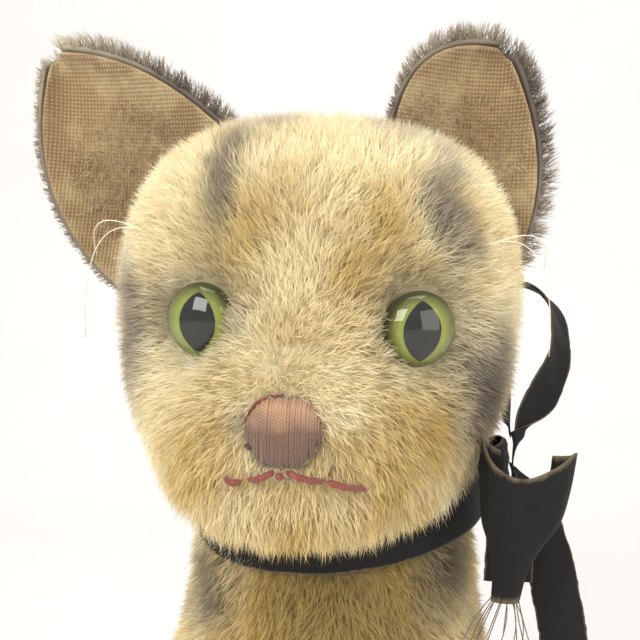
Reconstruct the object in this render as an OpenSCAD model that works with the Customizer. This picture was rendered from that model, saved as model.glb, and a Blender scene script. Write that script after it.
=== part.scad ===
// Seated plush cat with a swivel head, sewn from pile panels over a firm filling.
// The cat sits on the plane z = 0 and faces -Y. All sizes are in millimetres.

/* [Head] */
// Width of the head at the temples, over the skin
head_w = 74; // [64:1:78]
// Depth of the skull from brow to nape, over the skin
head_d = 66; // [58:1:72]
// Height of the crown above the middle of the head
head_up = 34; // [30:1:38]
// Depth of the jaw below the middle of the head, before the neck cuts it flat
head_down = 44; // [40:1:46]
// How far the muzzle stands out from the face
muzzle_len = 13; // [8:1:18]
// How far the chin hangs out under the mouth
chin_len = 7; // [3:0.5:9]
// Diameter of a glass eye
eye_d = 13.8; // [11:0.2:14]

/* [Neck] */
// Height of the neck joint above the ground
neck_h = 126; // [116:1:130]
// Set-back of the neck joint from the origin, negative is forwards
neck_y = -12; // [-16:1:-8]
// Forward lean of the neck axis in degrees
neck_tilt = 8; // [4:1:14]
// Radius of the two neck discs
disc_r = 17.5; // [16:0.5:18]
// Thickness of a neck disc
disc_t = 2.5; // [2:0.1:3]
// Radius of the split pin's shank
pin_r = 1.6; // [1.4:0.1:2]

/* [Body] */
// Half width of the haunch section of the body
body_half_w = 46; // [42:1:50]
// Thickness of the backing cloth of every pile panel
skin_t = 1.2; // [0.8:0.1:1.6]

/* [Ribbon] */
// Width of the neck ribbon
ribbon_w = 10; // [8:0.5:12]
// Thickness of the neck ribbon
ribbon_t = 0.5; // [0.4:0.1:0.8]

/* [Hidden] */

gap = 0.15;             // air left between pieces that are sewn together
big = 400;              // larger than the whole cat
left = 1;               // the cat's own left, on the +X side
right = -1;

// Colours of the stuffs
pile_cream = "#e6d9ae";
pile_gold = "#c9b074";
pile_grey = "#9c8b73";
lining_tan = "#a38b68";
board_brown = "#8a6a44";
filling_straw = "#c8a968";
ribbon_black = "#2b2a28";
thread_pink = "#c98f72";
thread_red = "#a4503f";
thread_dark = "#3a2c22";

// ---- General shapes ---------------------------------------------------------------

function unit(v) = v / norm(v);
function mix(a, b, t) = a + (b - a) * t;
function bezier(a, b, c, t) = mix(mix(a, b, t), mix(b, c, t), t);
function tip_x(v, deg) = [v.x, v.y * cos(deg) - v.z * sin(deg), v.y * sin(deg) + v.z * cos(deg)];

// Faces that join rows of n points into a closed skin with flat ends
function skin_faces(rows, n) = concat(
    [[for (i = [0 : n - 1]) i]],
    [for (r = [0 : rows - 2]) for (i = [0 : n - 1])
        [r * n + i, (r + 1) * n + i, (r + 1) * n + (i + 1) % n, r * n + (i + 1) % n]],
    [[for (i = [n - 1 : -1 : 0]) (rows - 1) * n + i]]);

module skin_over(rings) {
    polyhedron(
        points = [for (r = rings) each r],
        faces = skin_faces(len(rings), len(rings[0])),
        convexity = 6);
}

// One ring of n points: a rounded oblong, a wide and b deep, leaning by tilt
function oblong(centre, a, b, tilt, n, power = 2.3) = [
    for (i = [0 : n - 1])
        let (t = 360 * i / n,
             k = pow(pow(abs(cos(t)), power) + pow(abs(sin(t)), power), -1 / power))
        centre + tip_x([a * k * cos(t), b * k * sin(t), 0], tilt)];

// A tube of radius r(t) whose centres follow path, with rings square to it
function tube_rings(path, radii, n) = [
    for (i = [0 : len(path) - 1])
        let (ahead = path[min(i + 1, len(path) - 1)],
             behind = path[max(i - 1, 0)],
             along = unit(ahead - behind),
             side = unit(cross([0, 0, 1], along)),
             up = cross(along, side))
        [for (k = [0 : n - 1]) path[i] + radii[i] * (cos(360 * k / n) * side + sin(360 * k / n) * up)]];

// A flat strip: each station is [point, width vector], and its thickness is square to both
function strip_rings(stations, t) = [
    for (i = [0 : len(stations) - 1])
        let (p = stations[i][0],
             w = stations[i][1] / 2,
             along = stations[min(i + 1, len(stations) - 1)][0] - stations[max(i - 1, 0)][0],
             out = unit(cross(along, w)) * t / 2)
        [p - w - out, p - w + out, p + w + out, p + w - out]];

module strip(stations) {
    skin_over(strip_rings(stations, ribbon_t));
}

// Points along a smooth curve through hand-placed stations, m steps to each span
function spline(s, i, t) = let (
        a = s[max(i - 1, 0)], b = s[i], c = s[i + 1], d = s[min(i + 2, len(s) - 1)])
    0.5 * ((2 * b) + (c - a) * t + (2 * a - 5 * b + 4 * c - d) * t * t
        + (3 * b - a - 3 * c + d) * t * t * t);
function smooth(s, m) = concat(
    [for (i = [0 : len(s) - 2]) for (k = [0 : m - 1]) spline(s, i, k / m)],
    [s[len(s) - 1]]);

// Places its children in the neck's own frame: z along the neck axis, 0 between the discs
module on_neck() {
    translate([0, neck_y, neck_h]) rotate([neck_tilt, 0, 0]) children();
}
function neck_point(p) = [0, neck_y, neck_h] + tip_x(p, neck_tilt);

// ---- Head -------------------------------------------------------------------------

head_centre = [-4.5, -3, 37];   // in the neck's frame, sewn on a little to the cat's right
head_power = 2.5;               // above 2 squares the skull off a little
nose_x = -3;                    // the muzzle is sewn a little to the cat's right
head_cut = 1;                   // the head's flat base stands this far above the joint
head_base = head_centre.z - head_cut;

// A direction from the head's centre: lat out to the side, turn from the front up over the crown
function toward(lat, turn) = [sin(lat), -cos(lat) * cos(turn), cos(lat) * sin(turn)];
function bump(d, at, height, width) =
    height * exp(-pow(acos(max(-1, min(1, d * unit(at)))) / width, 2));
function both_sides(d, at, height, width) =
    bump(d, at, height, width) + bump(d, [-at.x, at.y, at.z], height, width);
function skull(d) = let (c = d.z > 0 ? head_up : head_down)
    pow(pow(abs(d.x) * 2 / head_w, head_power) + pow(abs(d.y) * 2 / head_d, head_power)
        + pow(abs(d.z) / c, head_power), -1 / head_power);

// Distance from the head's centre to its skin in direction d, without the flat base
function head_reach(d) = skull(d)
    + bump(d, [nose_x / 45, -1, -0.27], muzzle_len, 28)
    + bump(d, [nose_x / 45, -0.8, -0.85], chin_len, 22)
    + both_sides(d, [0.32, -1, -0.42], 1.5, 18)
    + both_sides(d, [0.45, -0.7, -0.75], 2.5, 20)
    + both_sides(d, [0.8, 0.1, 0.7], 1.5, 24);
// The same, lowered by depth and stopped at a flat base that stands lift above the true one
function head_point(d, depth = 0, lift = 0) = head_centre
    + d * min(head_reach(d) - depth, d.z < -0.1 ? (head_base - lift) / -d.z : big);
function clear_of_head(p, room) = let (v = p - head_centre, d = unit(v))
    head_centre + d * max(norm(v), head_reach(d) + room);

seam_lat = 20;          // where the side panels meet the centre panel
seam_gap = 0.25;        // half the width of a seam, in degrees
base_angle = 33.5;      // the gathered opening, as seen from the head's centre
mouth_turn = -26;       // where the centre panel meets the chin panel
pole_lat = 90;
side_cells = 14;
strip_cells = 6;
gusset_cells = 26;
chin_cells = 6;

// How far a line of latitude lat, or of turn, runs into the gathered opening
function opening_turn(lat) = acos(cos(base_angle) / cos(lat));
function opening_lat(turn) = cos(turn + 90) > cos(base_angle) ? acos(cos(base_angle) / cos(turn + 90)) : 0;

function side_direction(side, x, y) = let (
        px = x * sqrt(1 - y * y / 2),
        py = y * sqrt(1 - x * x / 2),
        turn = atan2(py, px),
        edge = max(seam_lat + seam_gap, opening_lat(turn)),
        d = toward(pole_lat - norm([px, py]) * (pole_lat - edge), turn))
    [side * d.x, d.y, d.z];
function side_grid(side) = [for (j = [0 : side_cells]) for (i = [0 : side_cells])
    side_direction(side, 2 * i / side_cells - 1, 2 * j / side_cells - 1)];
function strip_grid(from, to, cells) = [for (j = [0 : cells]) for (i = [0 : strip_cells])
    let (lat = mix(-1, 1, i / strip_cells) * (seam_lat - seam_gap),
         reach = opening_turn(lat))
    toward(lat, mix(from < -50 ? from + reach : from, to > 200 ? to - reach : to, j / cells))];

// A closed slab between two grids of points, with row points to a row
module slab(front, back, row, flip = false) {
    rows = len(front) / row;
    half = len(front);
    sheet = [for (j = [0 : rows - 2]) for (i = [0 : row - 2])
        [j * row + i, (j + 1) * row + i, (j + 1) * row + i + 1, j * row + i + 1]];
    rim = concat(
        [for (i = [0 : row - 2]) [i, i + 1]],
        [for (j = [0 : rows - 2]) [(j + 1) * row - 1, (j + 2) * row - 1]],
        [for (i = [row - 1 : -1 : 1]) [(rows - 1) * row + i, (rows - 1) * row + i - 1]],
        [for (j = [rows - 1 : -1 : 1]) [j * row, (j - 1) * row]]);
    faces = concat(
        sheet,
        [for (f = sheet) [for (k = [3 : -1 : 0]) f[k] + half]],
        [for (r = rim) [r[0], r[1], r[1] + half, r[0] + half]]);
    polyhedron(concat(front, back), flip ? [for (f = faces) [for (k = [3 : -1 : 0]) f[k]]] : faces,
        convexity = 6);
}
module panel(grid, row, flip) {
    slab([for (d = grid) head_point(d)], [for (d = grid) head_point(d, skin_t, skin_t)], row, flip);
}

eye_aim = unit([0.505, -0.86, 0.05]);
eye_at = head_reach(eye_aim) * eye_aim;  // middle of the left eye from the head's centre
eye_turn = 22;                          // how far the eye looks outwards, in degrees
eye_back = 0.7;                         // depth of the glass behind the skin

module at_eye(side) {
    translate(head_centre + [side * eye_at.x, eye_at.y, eye_at.z])
        rotate([0, 0, side * eye_turn]) rotate([90, 0, 0]) children();
}
module eye_seat(side, grow = 0) {
    at_eye(side) {
        translate([0, 0, -eye_back - iris_t - 0.1 - grow])
            cylinder(d = eye_d + 0.5 + 2 * grow, h = 12, $fn = 40);
        translate([0, 0, -15]) cylinder(d = 4.6, h = 14, $fn = 24);
    }
}

module head_side(side) {
    color(pile_grey) on_neck() difference() {
        panel(side_grid(side), side_cells + 1, side < 0);
        eye_seat(side);
    }
}
module head_gusset() {
    color(pile_cream) on_neck()
        panel(strip_grid(mouth_turn + seam_gap, 270, gusset_cells), strip_cells + 1, true);
}
module chin_gusset() {
    color(pile_gold) on_neck()
        panel(strip_grid(-90, mouth_turn - seam_gap, chin_cells), strip_cells + 1, true);
}

fill_cols = 24;
fill_rows = 12;
fill_gap = 0.5;         // room for the facets of filling and skin to miss each other
module head_filling() {
    lift = disc_t + gap;
    color(filling_straw) on_neck() difference() {
        skin_over([for (r = [1 : fill_rows - 1]) [for (i = [0 : fill_cols - 1])
            let (el = -90 + 180 * r / fill_rows, az = 360 * i / fill_cols)
            head_point([cos(el) * cos(az), cos(el) * sin(az), sin(el)], skin_t + fill_gap, lift)]]);
        for (side = [left, right]) eye_seat(side, 0.1);
        cylinder(r = washer_r + 0.4, h = 13, $fn = 40);
    }
}

// ---- Nose and mouth ----------------------------------------------------------------

nose_w = 13;
nose_h = 11.8;
nose_t = 1.5;
nose_z = -13.6;         // middle of the nose from the head's centre
nose_cells = 10;
face_y = -45;
stitch_r = 0.5;
mouth_z = -21;          // middle of the mouth

// A point of the face: x across, z up, lifted off the skin
function face_point(x, z, lift) = let (d = unit([x, face_y, z])) head_centre + d * (head_reach(d) + lift);

// Half width of the nose, from its top at t = 0 to its foot at t = 1: a rounded shield
function nose_half(t) = nose_w / 2 * pow(sin(mix(26, 156, t)), 0.8);
function nose_grid(thick) = [for (j = [0 : nose_cells]) for (i = [0 : nose_cells])
    let (s = 2 * i / nose_cells - 1,
         t = j / nose_cells,
         dome = (1 - pow(abs(s), 3)) * (1 - pow(abs(2 * t - 1), 3)))
    face_point(nose_x + s * nose_half(t), nose_z + nose_h * (0.5 - t), 0.2 + thick * (0.35 + 0.65 * dome))];
module nose_stitching() {
    color(thread_pink) on_neck() slab(nose_grid(nose_t), nose_grid(0), nose_cells + 1);
}

// Each stitch of the mouth: [from x, drop, to x, drop]
mouth_stitches = [[-11, 7, -7.4, 6], [-6.4, 5, -1.2, 0], [0.9, 0, 7, 3.6], [7.8, 4.2, 15.5, 9]];
module mouth_stitching() {
    color(thread_red) on_neck()
        for (m = mouth_stitches)
            skin_over(tube_rings([for (k = [0 : 4])
                face_point(nose_x + mix(m[0], m[2], k / 4), mouth_z - mix(m[1], m[3], k / 4), stitch_r + 0.3)],
                [for (k = [0 : 4]) stitch_r * (k == 0 || k == 4 ? 0.6 : 1)], 8));
}

// ---- Ears ---------------------------------------------------------------------------

ear_cells = 11;         // cells across an ear, and from its base to its tip
ear_tip = 0.96;         // the tip is rounded off here
ear_thick = 1.7;
ear_seam = 0.6;        // air between the lining and the pile cloth behind it
ear_room = 0.4;         // air between an ear's base and the head

// An ear is a cupped petal between a top edge and an outer edge, given as
// [base, bend, tip] of each edge from the head's centre, and the depth of its cup
ear_right = [
    [[-18, 3, 32], [-38, 5, 51], [-58, 8, 49]],
    [[-38, 1, -3], [-67, 4, 16], [-58, 8, 49]], 10];
ear_left = [
    [[13, 3, 33], [15, 5, 57], [36, 8, 52]],
    [[37, 1, 4], [51, 5, 26], [36, 8, 52]], 10];

function ear_point(e, u, v) = let (
        top = bezier(e[0][0], e[0][1], e[0][2], v),
        outer = bezier(e[1][0], e[1][1], e[1][2], v),
        cup = e[2] * (1 - pow(2 * u - 1, 2)) * (1 - v * v * 0.8))
    mix(top, outer, u) + [0, cup, 0];
function ear_normal(e, u, v) = let (
        s = 0.02,
        a = ear_point(e, u + s, v) - ear_point(e, u - s, v),
        b = ear_point(e, u, min(v, 0.9) + s) - ear_point(e, u, min(v, 0.9) - s))
    unit(cross(a, b)) * (e[0][0].x > 0 ? -1 : 1);
function ear_layer(e, depth) = [for (j = [0 : ear_cells]) for (i = [0 : ear_cells])
    let (u = i / ear_cells, v = ear_tip * j / ear_cells)
    clear_of_head(head_centre + ear_point(e, u, v) + depth * ear_normal(e, u, v), ear_room)];

module ear_back(e) {
    color(pile_grey) on_neck()
        slab(ear_layer(e, ear_seam), ear_layer(e, ear_thick), ear_cells + 1, e[0][0].x < 0);
}
module ear_lining(e) {
    color(lining_tan) on_neck()
        slab(ear_layer(e, -ear_thick / 2), ear_layer(e, 0), ear_cells + 1, e[0][0].x < 0);
}

// ---- Eyes ---------------------------------------------------------------------------

dome_r = 7.8;
iris_t = 0.5;
pupil_t = 0.3;
wire_r = 0.45;

module eye_glass(side) {
    color("#dfe8d8", 0.4) on_neck() at_eye(side)
        translate([0, 0, -eye_back + pupil_t + 0.05]) intersection() {
            translate([0, 0, 5 - dome_r]) sphere(dome_r, $fn = 64);
            cylinder(d = eye_d, h = 10, $fn = 64);
        }
}
module pupil_outline() {
    intersection_for (s = [left, right])
        translate([s * 4.4, 0]) circle(7, $fn = 96);
}
module eye_pupil(side) {
    color("#1d1e1c") on_neck() at_eye(side)
        translate([0, 0, -eye_back]) linear_extrude(pupil_t) pupil_outline();
}
module eye_iris(side) {
    color("#8aa03a") on_neck() at_eye(side)
        translate([0, 0, -eye_back - iris_t - 0.02]) cylinder(d = eye_d, h = iris_t, $fn = 64);
}
module eye_wire(side) {
    color("silver") on_neck() at_eye(side) {
        translate([0, 0, -9.4]) cylinder(r = wire_r, h = 6.6, $fn = 24);
        translate([0, 0, -10.6]) rotate([90, 0, 0])
            rotate_extrude($fn = 48) translate([1.15, 0]) circle(wire_r, $fn = 20);
    }
}

// ---- Whiskers ------------------------------------------------------------------------

whisker_r = 0.2;
whisker_cells = 10;
whisker_root = [32, -18, 17];
whisker_bend = [44, -22, 22];
whisker_ends = [[45, -16, -6], [43, -14, 10]];

module whiskers(side) {
    color("#efe9d8") on_neck()
        for (end = whisker_ends)
            let (path = [for (i = [0 : whisker_cells])
                    let (p = bezier(whisker_root, whisker_bend, end, i / whisker_cells))
                    clear_of_head(head_centre + [side * p.x, p.y, p.z], 0.6)])
            skin_over(tube_rings(path, [for (p = path) whisker_r], 6));
}

// ---- Neck joint ------------------------------------------------------------------------

washer_r = 8;
washer_t = 0.8;
cloth_t = 0.6;
gather_r = 22.5;        // the gathered cloth that closes the head and the body
pin_play = 0.05;        // running clearance round the pin in the body's disc

module ring_plate(z, r, t, bore) {
    translate([0, 0, z]) difference() {
        cylinder(r = r, h = t, $fn = 96);
        translate([0, 0, -1]) cylinder(r = bore, h = t + 2, $fn = 48);
    }
}
disc_z = head_cut;
washer_z = disc_z + disc_t + 0.05;

module head_disc() {
    color(board_brown) on_neck() ring_plate(disc_z, disc_r, disc_t, pin_r + pin_play);
}
module body_disc() {
    color(board_brown) on_neck() ring_plate(-disc_z - disc_t, disc_r, disc_t, pin_r + pin_play);
}
module head_washer() {
    color("silver") on_neck() ring_plate(washer_z, washer_r, washer_t, pin_r + pin_play);
}
module body_washer() {
    color("silver") on_neck() ring_plate(-washer_z - washer_t, washer_r, washer_t, pin_r + pin_play);
}
module head_gather() {
    color(lining_tan) on_neck() ring_plate(0.25, gather_r, cloth_t, pin_r + 0.3);
}
module body_gather() {
    color(lining_tan) on_neck() ring_plate(-0.25 - cloth_t, gather_r, cloth_t, pin_r + 0.3);
}

pin_top = washer_z + washer_t + 0.05;
// A split pin: an eye above the head's washer, a shank, and two legs curled under the body's washer
module neck_pin() {
    curl_r = 2.4;
    leg_r = 0.75;
    color("silver") on_neck() {
        translate([0, 0, -pin_top]) cylinder(r = pin_r, h = 2 * pin_top, $fn = 48);
        translate([0, 0, pin_top]) cylinder(r = pin_r + 1.1, h = 0.8, $fn = 48);
        translate([0, 0, pin_top + 3]) rotate([90, 0, 0])
            rotate_extrude($fn = 48) translate([1.9, 0]) circle(leg_r, $fn = 24);
        translate([0, 0, -pin_top - 0.8]) cylinder(r = pin_r + 1.1, h = 0.8, $fn = 48);
        for (side = [left, right])
            translate([side * curl_r * 0.9, 0, -pin_top - 3]) rotate([90, 0, 0])
                rotate_extrude($fn = 48) translate([curl_r - leg_r, 0]) circle(leg_r, $fn = 24);
    }
}

// ---- Body ---------------------------------------------------------------------------------

body_cols = 40;
seat_t = 1.2;
seat_y = 14;
neck_base = [0, neck_y, neck_h];

function below_neck(down) = neck_base - down * tip_x([0, 0, 1], neck_tilt);

// Sections of the body: [centre, half width, half depth, tilt]
body_sections = [
    [[0, seat_y, seat_t + gap], 0.84 * body_half_w, 42, 0],
    [[0, seat_y, 8], 0.94 * body_half_w, 48, 0],
    [[0, 13, 24], body_half_w, 50, 0],
    [[0, 10, 44], 0.94 * body_half_w, 45, 2],
    [[0, 5, 62], 0.85 * body_half_w, 39.5, 3],
    [[0, 0, 80], 0.72 * body_half_w, 34.5, 5],
    [[0, -5, 97], 0.63 * body_half_w, 30.5, 6],
    [below_neck(14), 27.6, 27.6, neck_tilt],
    [below_neck(7), 26.4, 26.4, neck_tilt],
    [below_neck(3), 24.8, 24.8, neck_tilt],
    [below_neck(1), 22.8, 22.8, neck_tilt]];

module body_solid(inset = 0) {
    last = len(body_sections) - 1;
    skin_over([for (i = [0 : last])
        let (s = body_sections[i],
             rise = i == 0 && inset > 0 ? inset : 0)
        oblong(s[0] + [0, 0, rise], s[1] - inset, s[2] - inset, s[3], body_cols)]);
}
module body_shell() {
    difference() {
        body_solid();
        body_solid(skin_t);
        on_neck() translate([0, 0, -3 * disc_t]) cylinder(r = disc_r + 1.2, h = 20, $fn = 60);
    }
}
module side_zone(side) {
    translate([side > 0 ? gap / 2 : -big - gap / 2, -big / 2, -big / 2]) cube(big);
}
belly_w = 30;
module belly_zone(grow = 0) {
    translate([-belly_w / 2 - grow, -big, -big / 2]) cube([belly_w + 2 * grow, big, big]);
}
module body_side(side) {
    color(pile_grey) difference() {
        intersection() {
            body_shell();
            side_zone(side);
        }
        belly_zone(gap);
    }
}
module belly_gusset() {
    color(pile_cream) intersection() {
        body_shell();
        belly_zone();
    }
}
module seat_panel() {
    color(lining_tan) linear_extrude(seat_t)
        polygon([for (p = oblong([0, seat_y, 0], 0.8 * body_half_w, 40, 0, 64)) [p.x, p.y]]);
}
module body_filling() {
    color(filling_straw) difference() {
        body_solid(skin_t + gap);
        on_neck() translate([0, 0, -12]) cylinder(r = washer_r + 0.4, h = 30, $fn = 40);
        on_neck() translate([0, 0, -head_cut - disc_t - 1.5]) cylinder(r = body_half_w, h = 30, $fn = 60);
    }
}

// ---- Legs and tail --------------------------------------------------------------------------

leg_cols = 20;
// Sections of a front leg from the sole up: [x, y, z, half width, half depth]
front_sections = [
    [18, -46, 0, 8.5, 12],
    [18, -47, 3, 11.5, 16],
    [18, -47, 8, 12, 16.5],
    [18, -45, 14, 11.5, 14],
    [17.5, -41, 21, 11, 11.5],
    [17, -38, 32, 10.8, 11],
    [16.5, -35, 48, 11.2, 11.5],
    [16, -31, 66, 11, 12],
    [15, -24, 82, 8, 8]];

module front_leg_solid(side, inset = 0) {
    skin_over([for (s = front_sections)
        oblong([side * s[0], s[1], max(s[2], inset)], s[3] - inset, s[4] - inset, 0, leg_cols, 2.2)]);
}
module front_leg(side) {
    color(pile_cream) difference() {
        front_leg_solid(side);
        front_leg_solid(side, skin_t);
        body_solid(-gap);
    }
}
module front_leg_filling(side) {
    color(filling_straw) difference() {
        front_leg_solid(side, skin_t + gap);
        body_solid(-2 * gap);
    }
}

foot_r = 10.5;
hind_fn = 18;
module hind_leg_solid(side, inset = 0) {
    intersection() {
        translate([-big / 2, -big / 2, inset]) cube(big);
        union() {
            hull() {
                translate([side * 37, 24, 31]) sphere(19 - inset, $fn = hind_fn);
                translate([side * 38, 2, 21]) sphere(16 - inset, $fn = hind_fn);
                translate([side * 40, 26, 15]) sphere(15.2 - inset, $fn = hind_fn);
            }
            hull() {
                translate([side * 44, -6, foot_r + 0.3]) sphere(foot_r + 0.5 - inset, $fn = hind_fn);
                translate([side * 43, -36, foot_r - 0.4]) sphere(foot_r - inset, $fn = hind_fn);
            }
        }
    }
}
module hind_leg(side) {
    color(pile_grey) difference() {
        hind_leg_solid(side);
        hind_leg_solid(side, skin_t);
        body_solid(-gap);
    }
}
module hind_leg_filling(side) {
    color(filling_straw) difference() {
        hind_leg_solid(side, skin_t + gap);
        body_solid(-2 * gap);
    }
}

claw_count = 4;
claw_gap = 4;
claw_cells = 6;
// Claws are long stitches that run over the front of a paw, whose outline in a plane
// of constant x is an ellipse with centre at, half length len and half height high
module claws(at, len, high) {
    color(thread_dark) for (i = [0 : claw_count - 1])
        let (off = i - (claw_count - 1) / 2,
             shrink = 1 - 0.035 * off * off,
             path = [for (k = [0 : claw_cells]) let (t = mix(8, 55, k / claw_cells))
                 at + [off * claw_gap, -len * shrink * cos(t), high * shrink * sin(t)]])
        skin_over(tube_rings(path, [for (q = path) stitch_r], 6));
}
module front_claws(side) {
    claws([side * 18, -47, 5], 17.6, 14.5);
}
module hind_claws(side) {
    claws([side * 43, -36, foot_r - 0.4], foot_r + 0.9, foot_r + 0.9);
}

tail_steps = 14;
tail_from = 90;         // the tail follows an arc round the left haunch, in degrees
tail_to = -32;
tail_at = [8, 8];       // the middle of that arc
tail_reach = 59.5;      // and its radius
tail_r = 8.6;
function tail_share(i) = i / tail_steps;
function tail_centre(i, inset) = let (t = mix(tail_from - 1.5 * inset, tail_to + 1.5 * inset, tail_share(i)))
    [tail_at.x + tail_reach * cos(t), tail_at.y + tail_reach * sin(t),
     tail_radius(i) + 0.2 + 12 * pow(1 - tail_share(i), 4)];
function tail_radius(i) = tail_r * (i == tail_steps ? 0.45 : 1 - 0.2 * tail_share(i));

module tail_solid(inset = 0) {
    skin_over(tube_rings([for (i = [0 : tail_steps]) tail_centre(i, inset)],
        [for (i = [0 : tail_steps]) tail_radius(i) - inset], 16));
}
module tail() {
    color(pile_grey) difference() {
        tail_solid();
        tail_solid(skin_t);
        body_solid(-gap);
    }
}
module tail_filling() {
    color(filling_straw) difference() {
        tail_solid(skin_t + gap);
        body_solid(-2 * gap);
    }
}

// ---- Ribbon and bow ---------------------------------------------------------------------------

band_r = 29.6;
band_z = -10.2;         // lower edge of the band from the neck joint
band_lean = 7;          // the band rises to the knot, in degrees
knot_turn = -32;        // how far round to the front the knot sits
knot_r = 37;            // the knot's distance from the neck axis
knot_z = 8.5;           // and its height above the neck joint

module ribbon_band() {
    color(ribbon_black) on_neck() rotate([0, -band_lean, 0]) rotate_extrude($fn = 96)
        polygon([[band_r + 1.2, band_z], [band_r + 1.2 + ribbon_t, band_z],
            [band_r + ribbon_t, band_z + ribbon_w], [band_r, band_z + ribbon_w]]);
}

knot_at = neck_point([knot_r * cos(knot_turn), knot_r * sin(knot_turn), knot_z]);
knot_round = 2.1;
knot_half = [0, 1.6, 3.2];

module ribbon_knot() {
    color(ribbon_black) translate(knot_at) rotate([neck_tilt, 0, knot_turn]) hull() {
        for (z = [left, right]) for (y = [left, right])
            translate([0, y * knot_half.y, z * knot_half.z]) sphere(knot_round, $fn = 20);
    }
}

loop_m = 4;
// Each strip's stations are [point from the knot, width vector], placed by hand
rear_loop = [
    [[3.6, 4, 3], [0, 4, 4]], [[10, 14, 10], [8, 5, -1]], [[16, 24, 21], [6, 8, -2]],
    [[15, 31, 31], [4, 9, -2]], [[8, 35, 35], [1, 9, -1]], [[3, 33, 27], [2, 9, 0]],
    [[3.5, 22, 15], [4, 8, -2]], [[3.2, 9, 6], [2, 3, -3]]];
long_tail = [
    [[4, 4, -3], [0, 2, 4]], [[9, 5.5, -9], [7, 2, 3]], [[12.5, 6, -19], [9, 2, 1]],
    [[15.5, 6, -31], [9.5, 2, 1]], [[18, 6, -44], [9.5, 2, 1]], [[19.5, 6, -56], [9.5, 2, 2]]];
short_tail = [
    [[3.5, 0.5, -4], [0, 1, 3]], [[4, 1, -12], [5, 0.5, 0]], [[4, 1, -23], [7, 0.5, 0]]];

module bow_strip(stations) {
    color(ribbon_black) translate(knot_at)
        strip([for (s = smooth([for (q = stations) concat(q[0], q[1])], loop_m))
            [[s[0], s[1], s[2]], [s[3], s[4], s[5]]]]);
}

// The front loop is pulled into a flattened trumpet, wide and open at its top. Each level
// is [middle x, middle y, z, half width, half depth] from the knot.
trumpet_levels = [
    [5.5, -7.5, 3.6, 9.1, 4], [5.2, -7.5, -3, 8.6, 3.8], [4.8, -7.5, -8.5, 7.6, 3.5],
    [4, -7.4, -13, 5.4, 2.9], [3.2, -7.2, -18, 3.5, 2.1], [2.5, -7, -24.4, 2.8, 1.5]];
trumpet_cols = 24;
trumpet_from = -235;    // its wall runs round the front from behind on the left, in degrees
trumpet_to = 55;
// How far the rim stands above the top level: a flap by the knot, a dip and a lobe
function trumpet_rim(a) = 3.5 * exp(-pow((a + 190) / 35, 2)) - 3.5 * exp(-pow((a + 100) / 40, 2))
    + 1.5 * exp(-pow((a + 10) / 35, 2));
function trumpet_grid(inset) = [
    for (l = smooth(trumpet_levels, loop_m)) for (i = [0 : trumpet_cols])
        let (a = mix(trumpet_from, trumpet_to, i / trumpet_cols),
             rise = trumpet_rim(a) * max(0, (l[2] + 10) / 14))
        [l[0] + (l[3] - inset) * cos(a), l[1] + (l[4] - inset) * sin(a), l[2] + rise]];
module front_loop() {
    color(ribbon_black) translate(knot_at)
        slab(trumpet_grid(0), trumpet_grid(ribbon_t), trumpet_cols + 1, true);
}

fray_r = 0.22;
fray_ends = [[-4, -6, -32], [-1, -8, -35], [2, -7, -36], [5, -6, -35], [8, -5, -31]];
module ribbon_fray() {
    color(thread_dark) translate(knot_at)
        for (i = [0 : len(fray_ends) - 1])
            let (start = [0.9 + 0.8 * i, -6.8, -25],
                 bend = mix(start, fray_ends[i], 0.5) + [0, -1, 1])
            skin_over(tube_rings([for (k = [0 : 6]) bezier(start, bend, fray_ends[i], k / 6)],
                [for (k = [0 : 6]) fray_r], 6));
}

// ---- Nodes --------------------------------------------------------------------------------------

body_side(left);  // body_side_left
body_side(right);  // body_side_right
belly_gusset();
seat_panel();
body_filling();
front_leg(left);  // front_leg_left
front_leg(right);  // front_leg_right
front_leg_filling(left);  // front_leg_left_filling
front_leg_filling(right);  // front_leg_right_filling
hind_leg(left);  // hind_leg_left
hind_leg(right);  // hind_leg_right
hind_leg_filling(left);  // hind_leg_left_filling
hind_leg_filling(right);  // hind_leg_right_filling
front_claws(left);  // front_claws_left
front_claws(right);  // front_claws_right
hind_claws(left);  // hind_claws_left
hind_claws(right);  // hind_claws_right
tail();
tail_filling();
body_disc();
body_washer();
body_gather();
head_side(left);  // head_side_left
head_side(right);  // head_side_right
head_gusset();
chin_gusset();
head_filling();
head_disc();
head_washer();
head_gather();
neck_pin();
ear_back(ear_left);  // ear_left_back
ear_lining(ear_left);  // ear_left_lining
ear_back(ear_right);  // ear_right_back
ear_lining(ear_right);  // ear_right_lining
eye_glass(left);  // eye_left_glass
eye_iris(left);  // eye_left_iris
eye_pupil(left);  // eye_left_pupil
eye_wire(left);  // eye_left_wire
eye_glass(right);  // eye_right_glass
eye_iris(right);  // eye_right_iris
eye_pupil(right);  // eye_right_pupil
eye_wire(right);  // eye_right_wire
nose_stitching();
mouth_stitching();
whiskers(left);  // whiskers_left
whiskers(right);  // whiskers_right
ribbon_band();
ribbon_knot();
front_loop();  // ribbon_front_loop
bow_strip(rear_loop);  // ribbon_rear_loop
bow_strip(long_tail);  // ribbon_long_tail
bow_strip(short_tail);  // ribbon_short_tail
ribbon_fray();
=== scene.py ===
"""Looks of a seated plush cat: mohair pile, stitched face, glass eyes and a neck ribbon.

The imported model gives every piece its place. This script grows the pile, puffs the
stuffed forms, dresses the soft pieces and lights them. Lengths inside the classes
are in millimetres, and the meshes are written in metres.
"""

import logging
import math
from collections.abc import Callable, Sequence
from dataclasses import dataclass, field
from enum import Enum

import bmesh
import bpy
import numpy as np
from mathutils import Matrix, Vector
from mathutils.bvhtree import BVHTree
from mathutils.kdtree import KDTree


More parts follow.
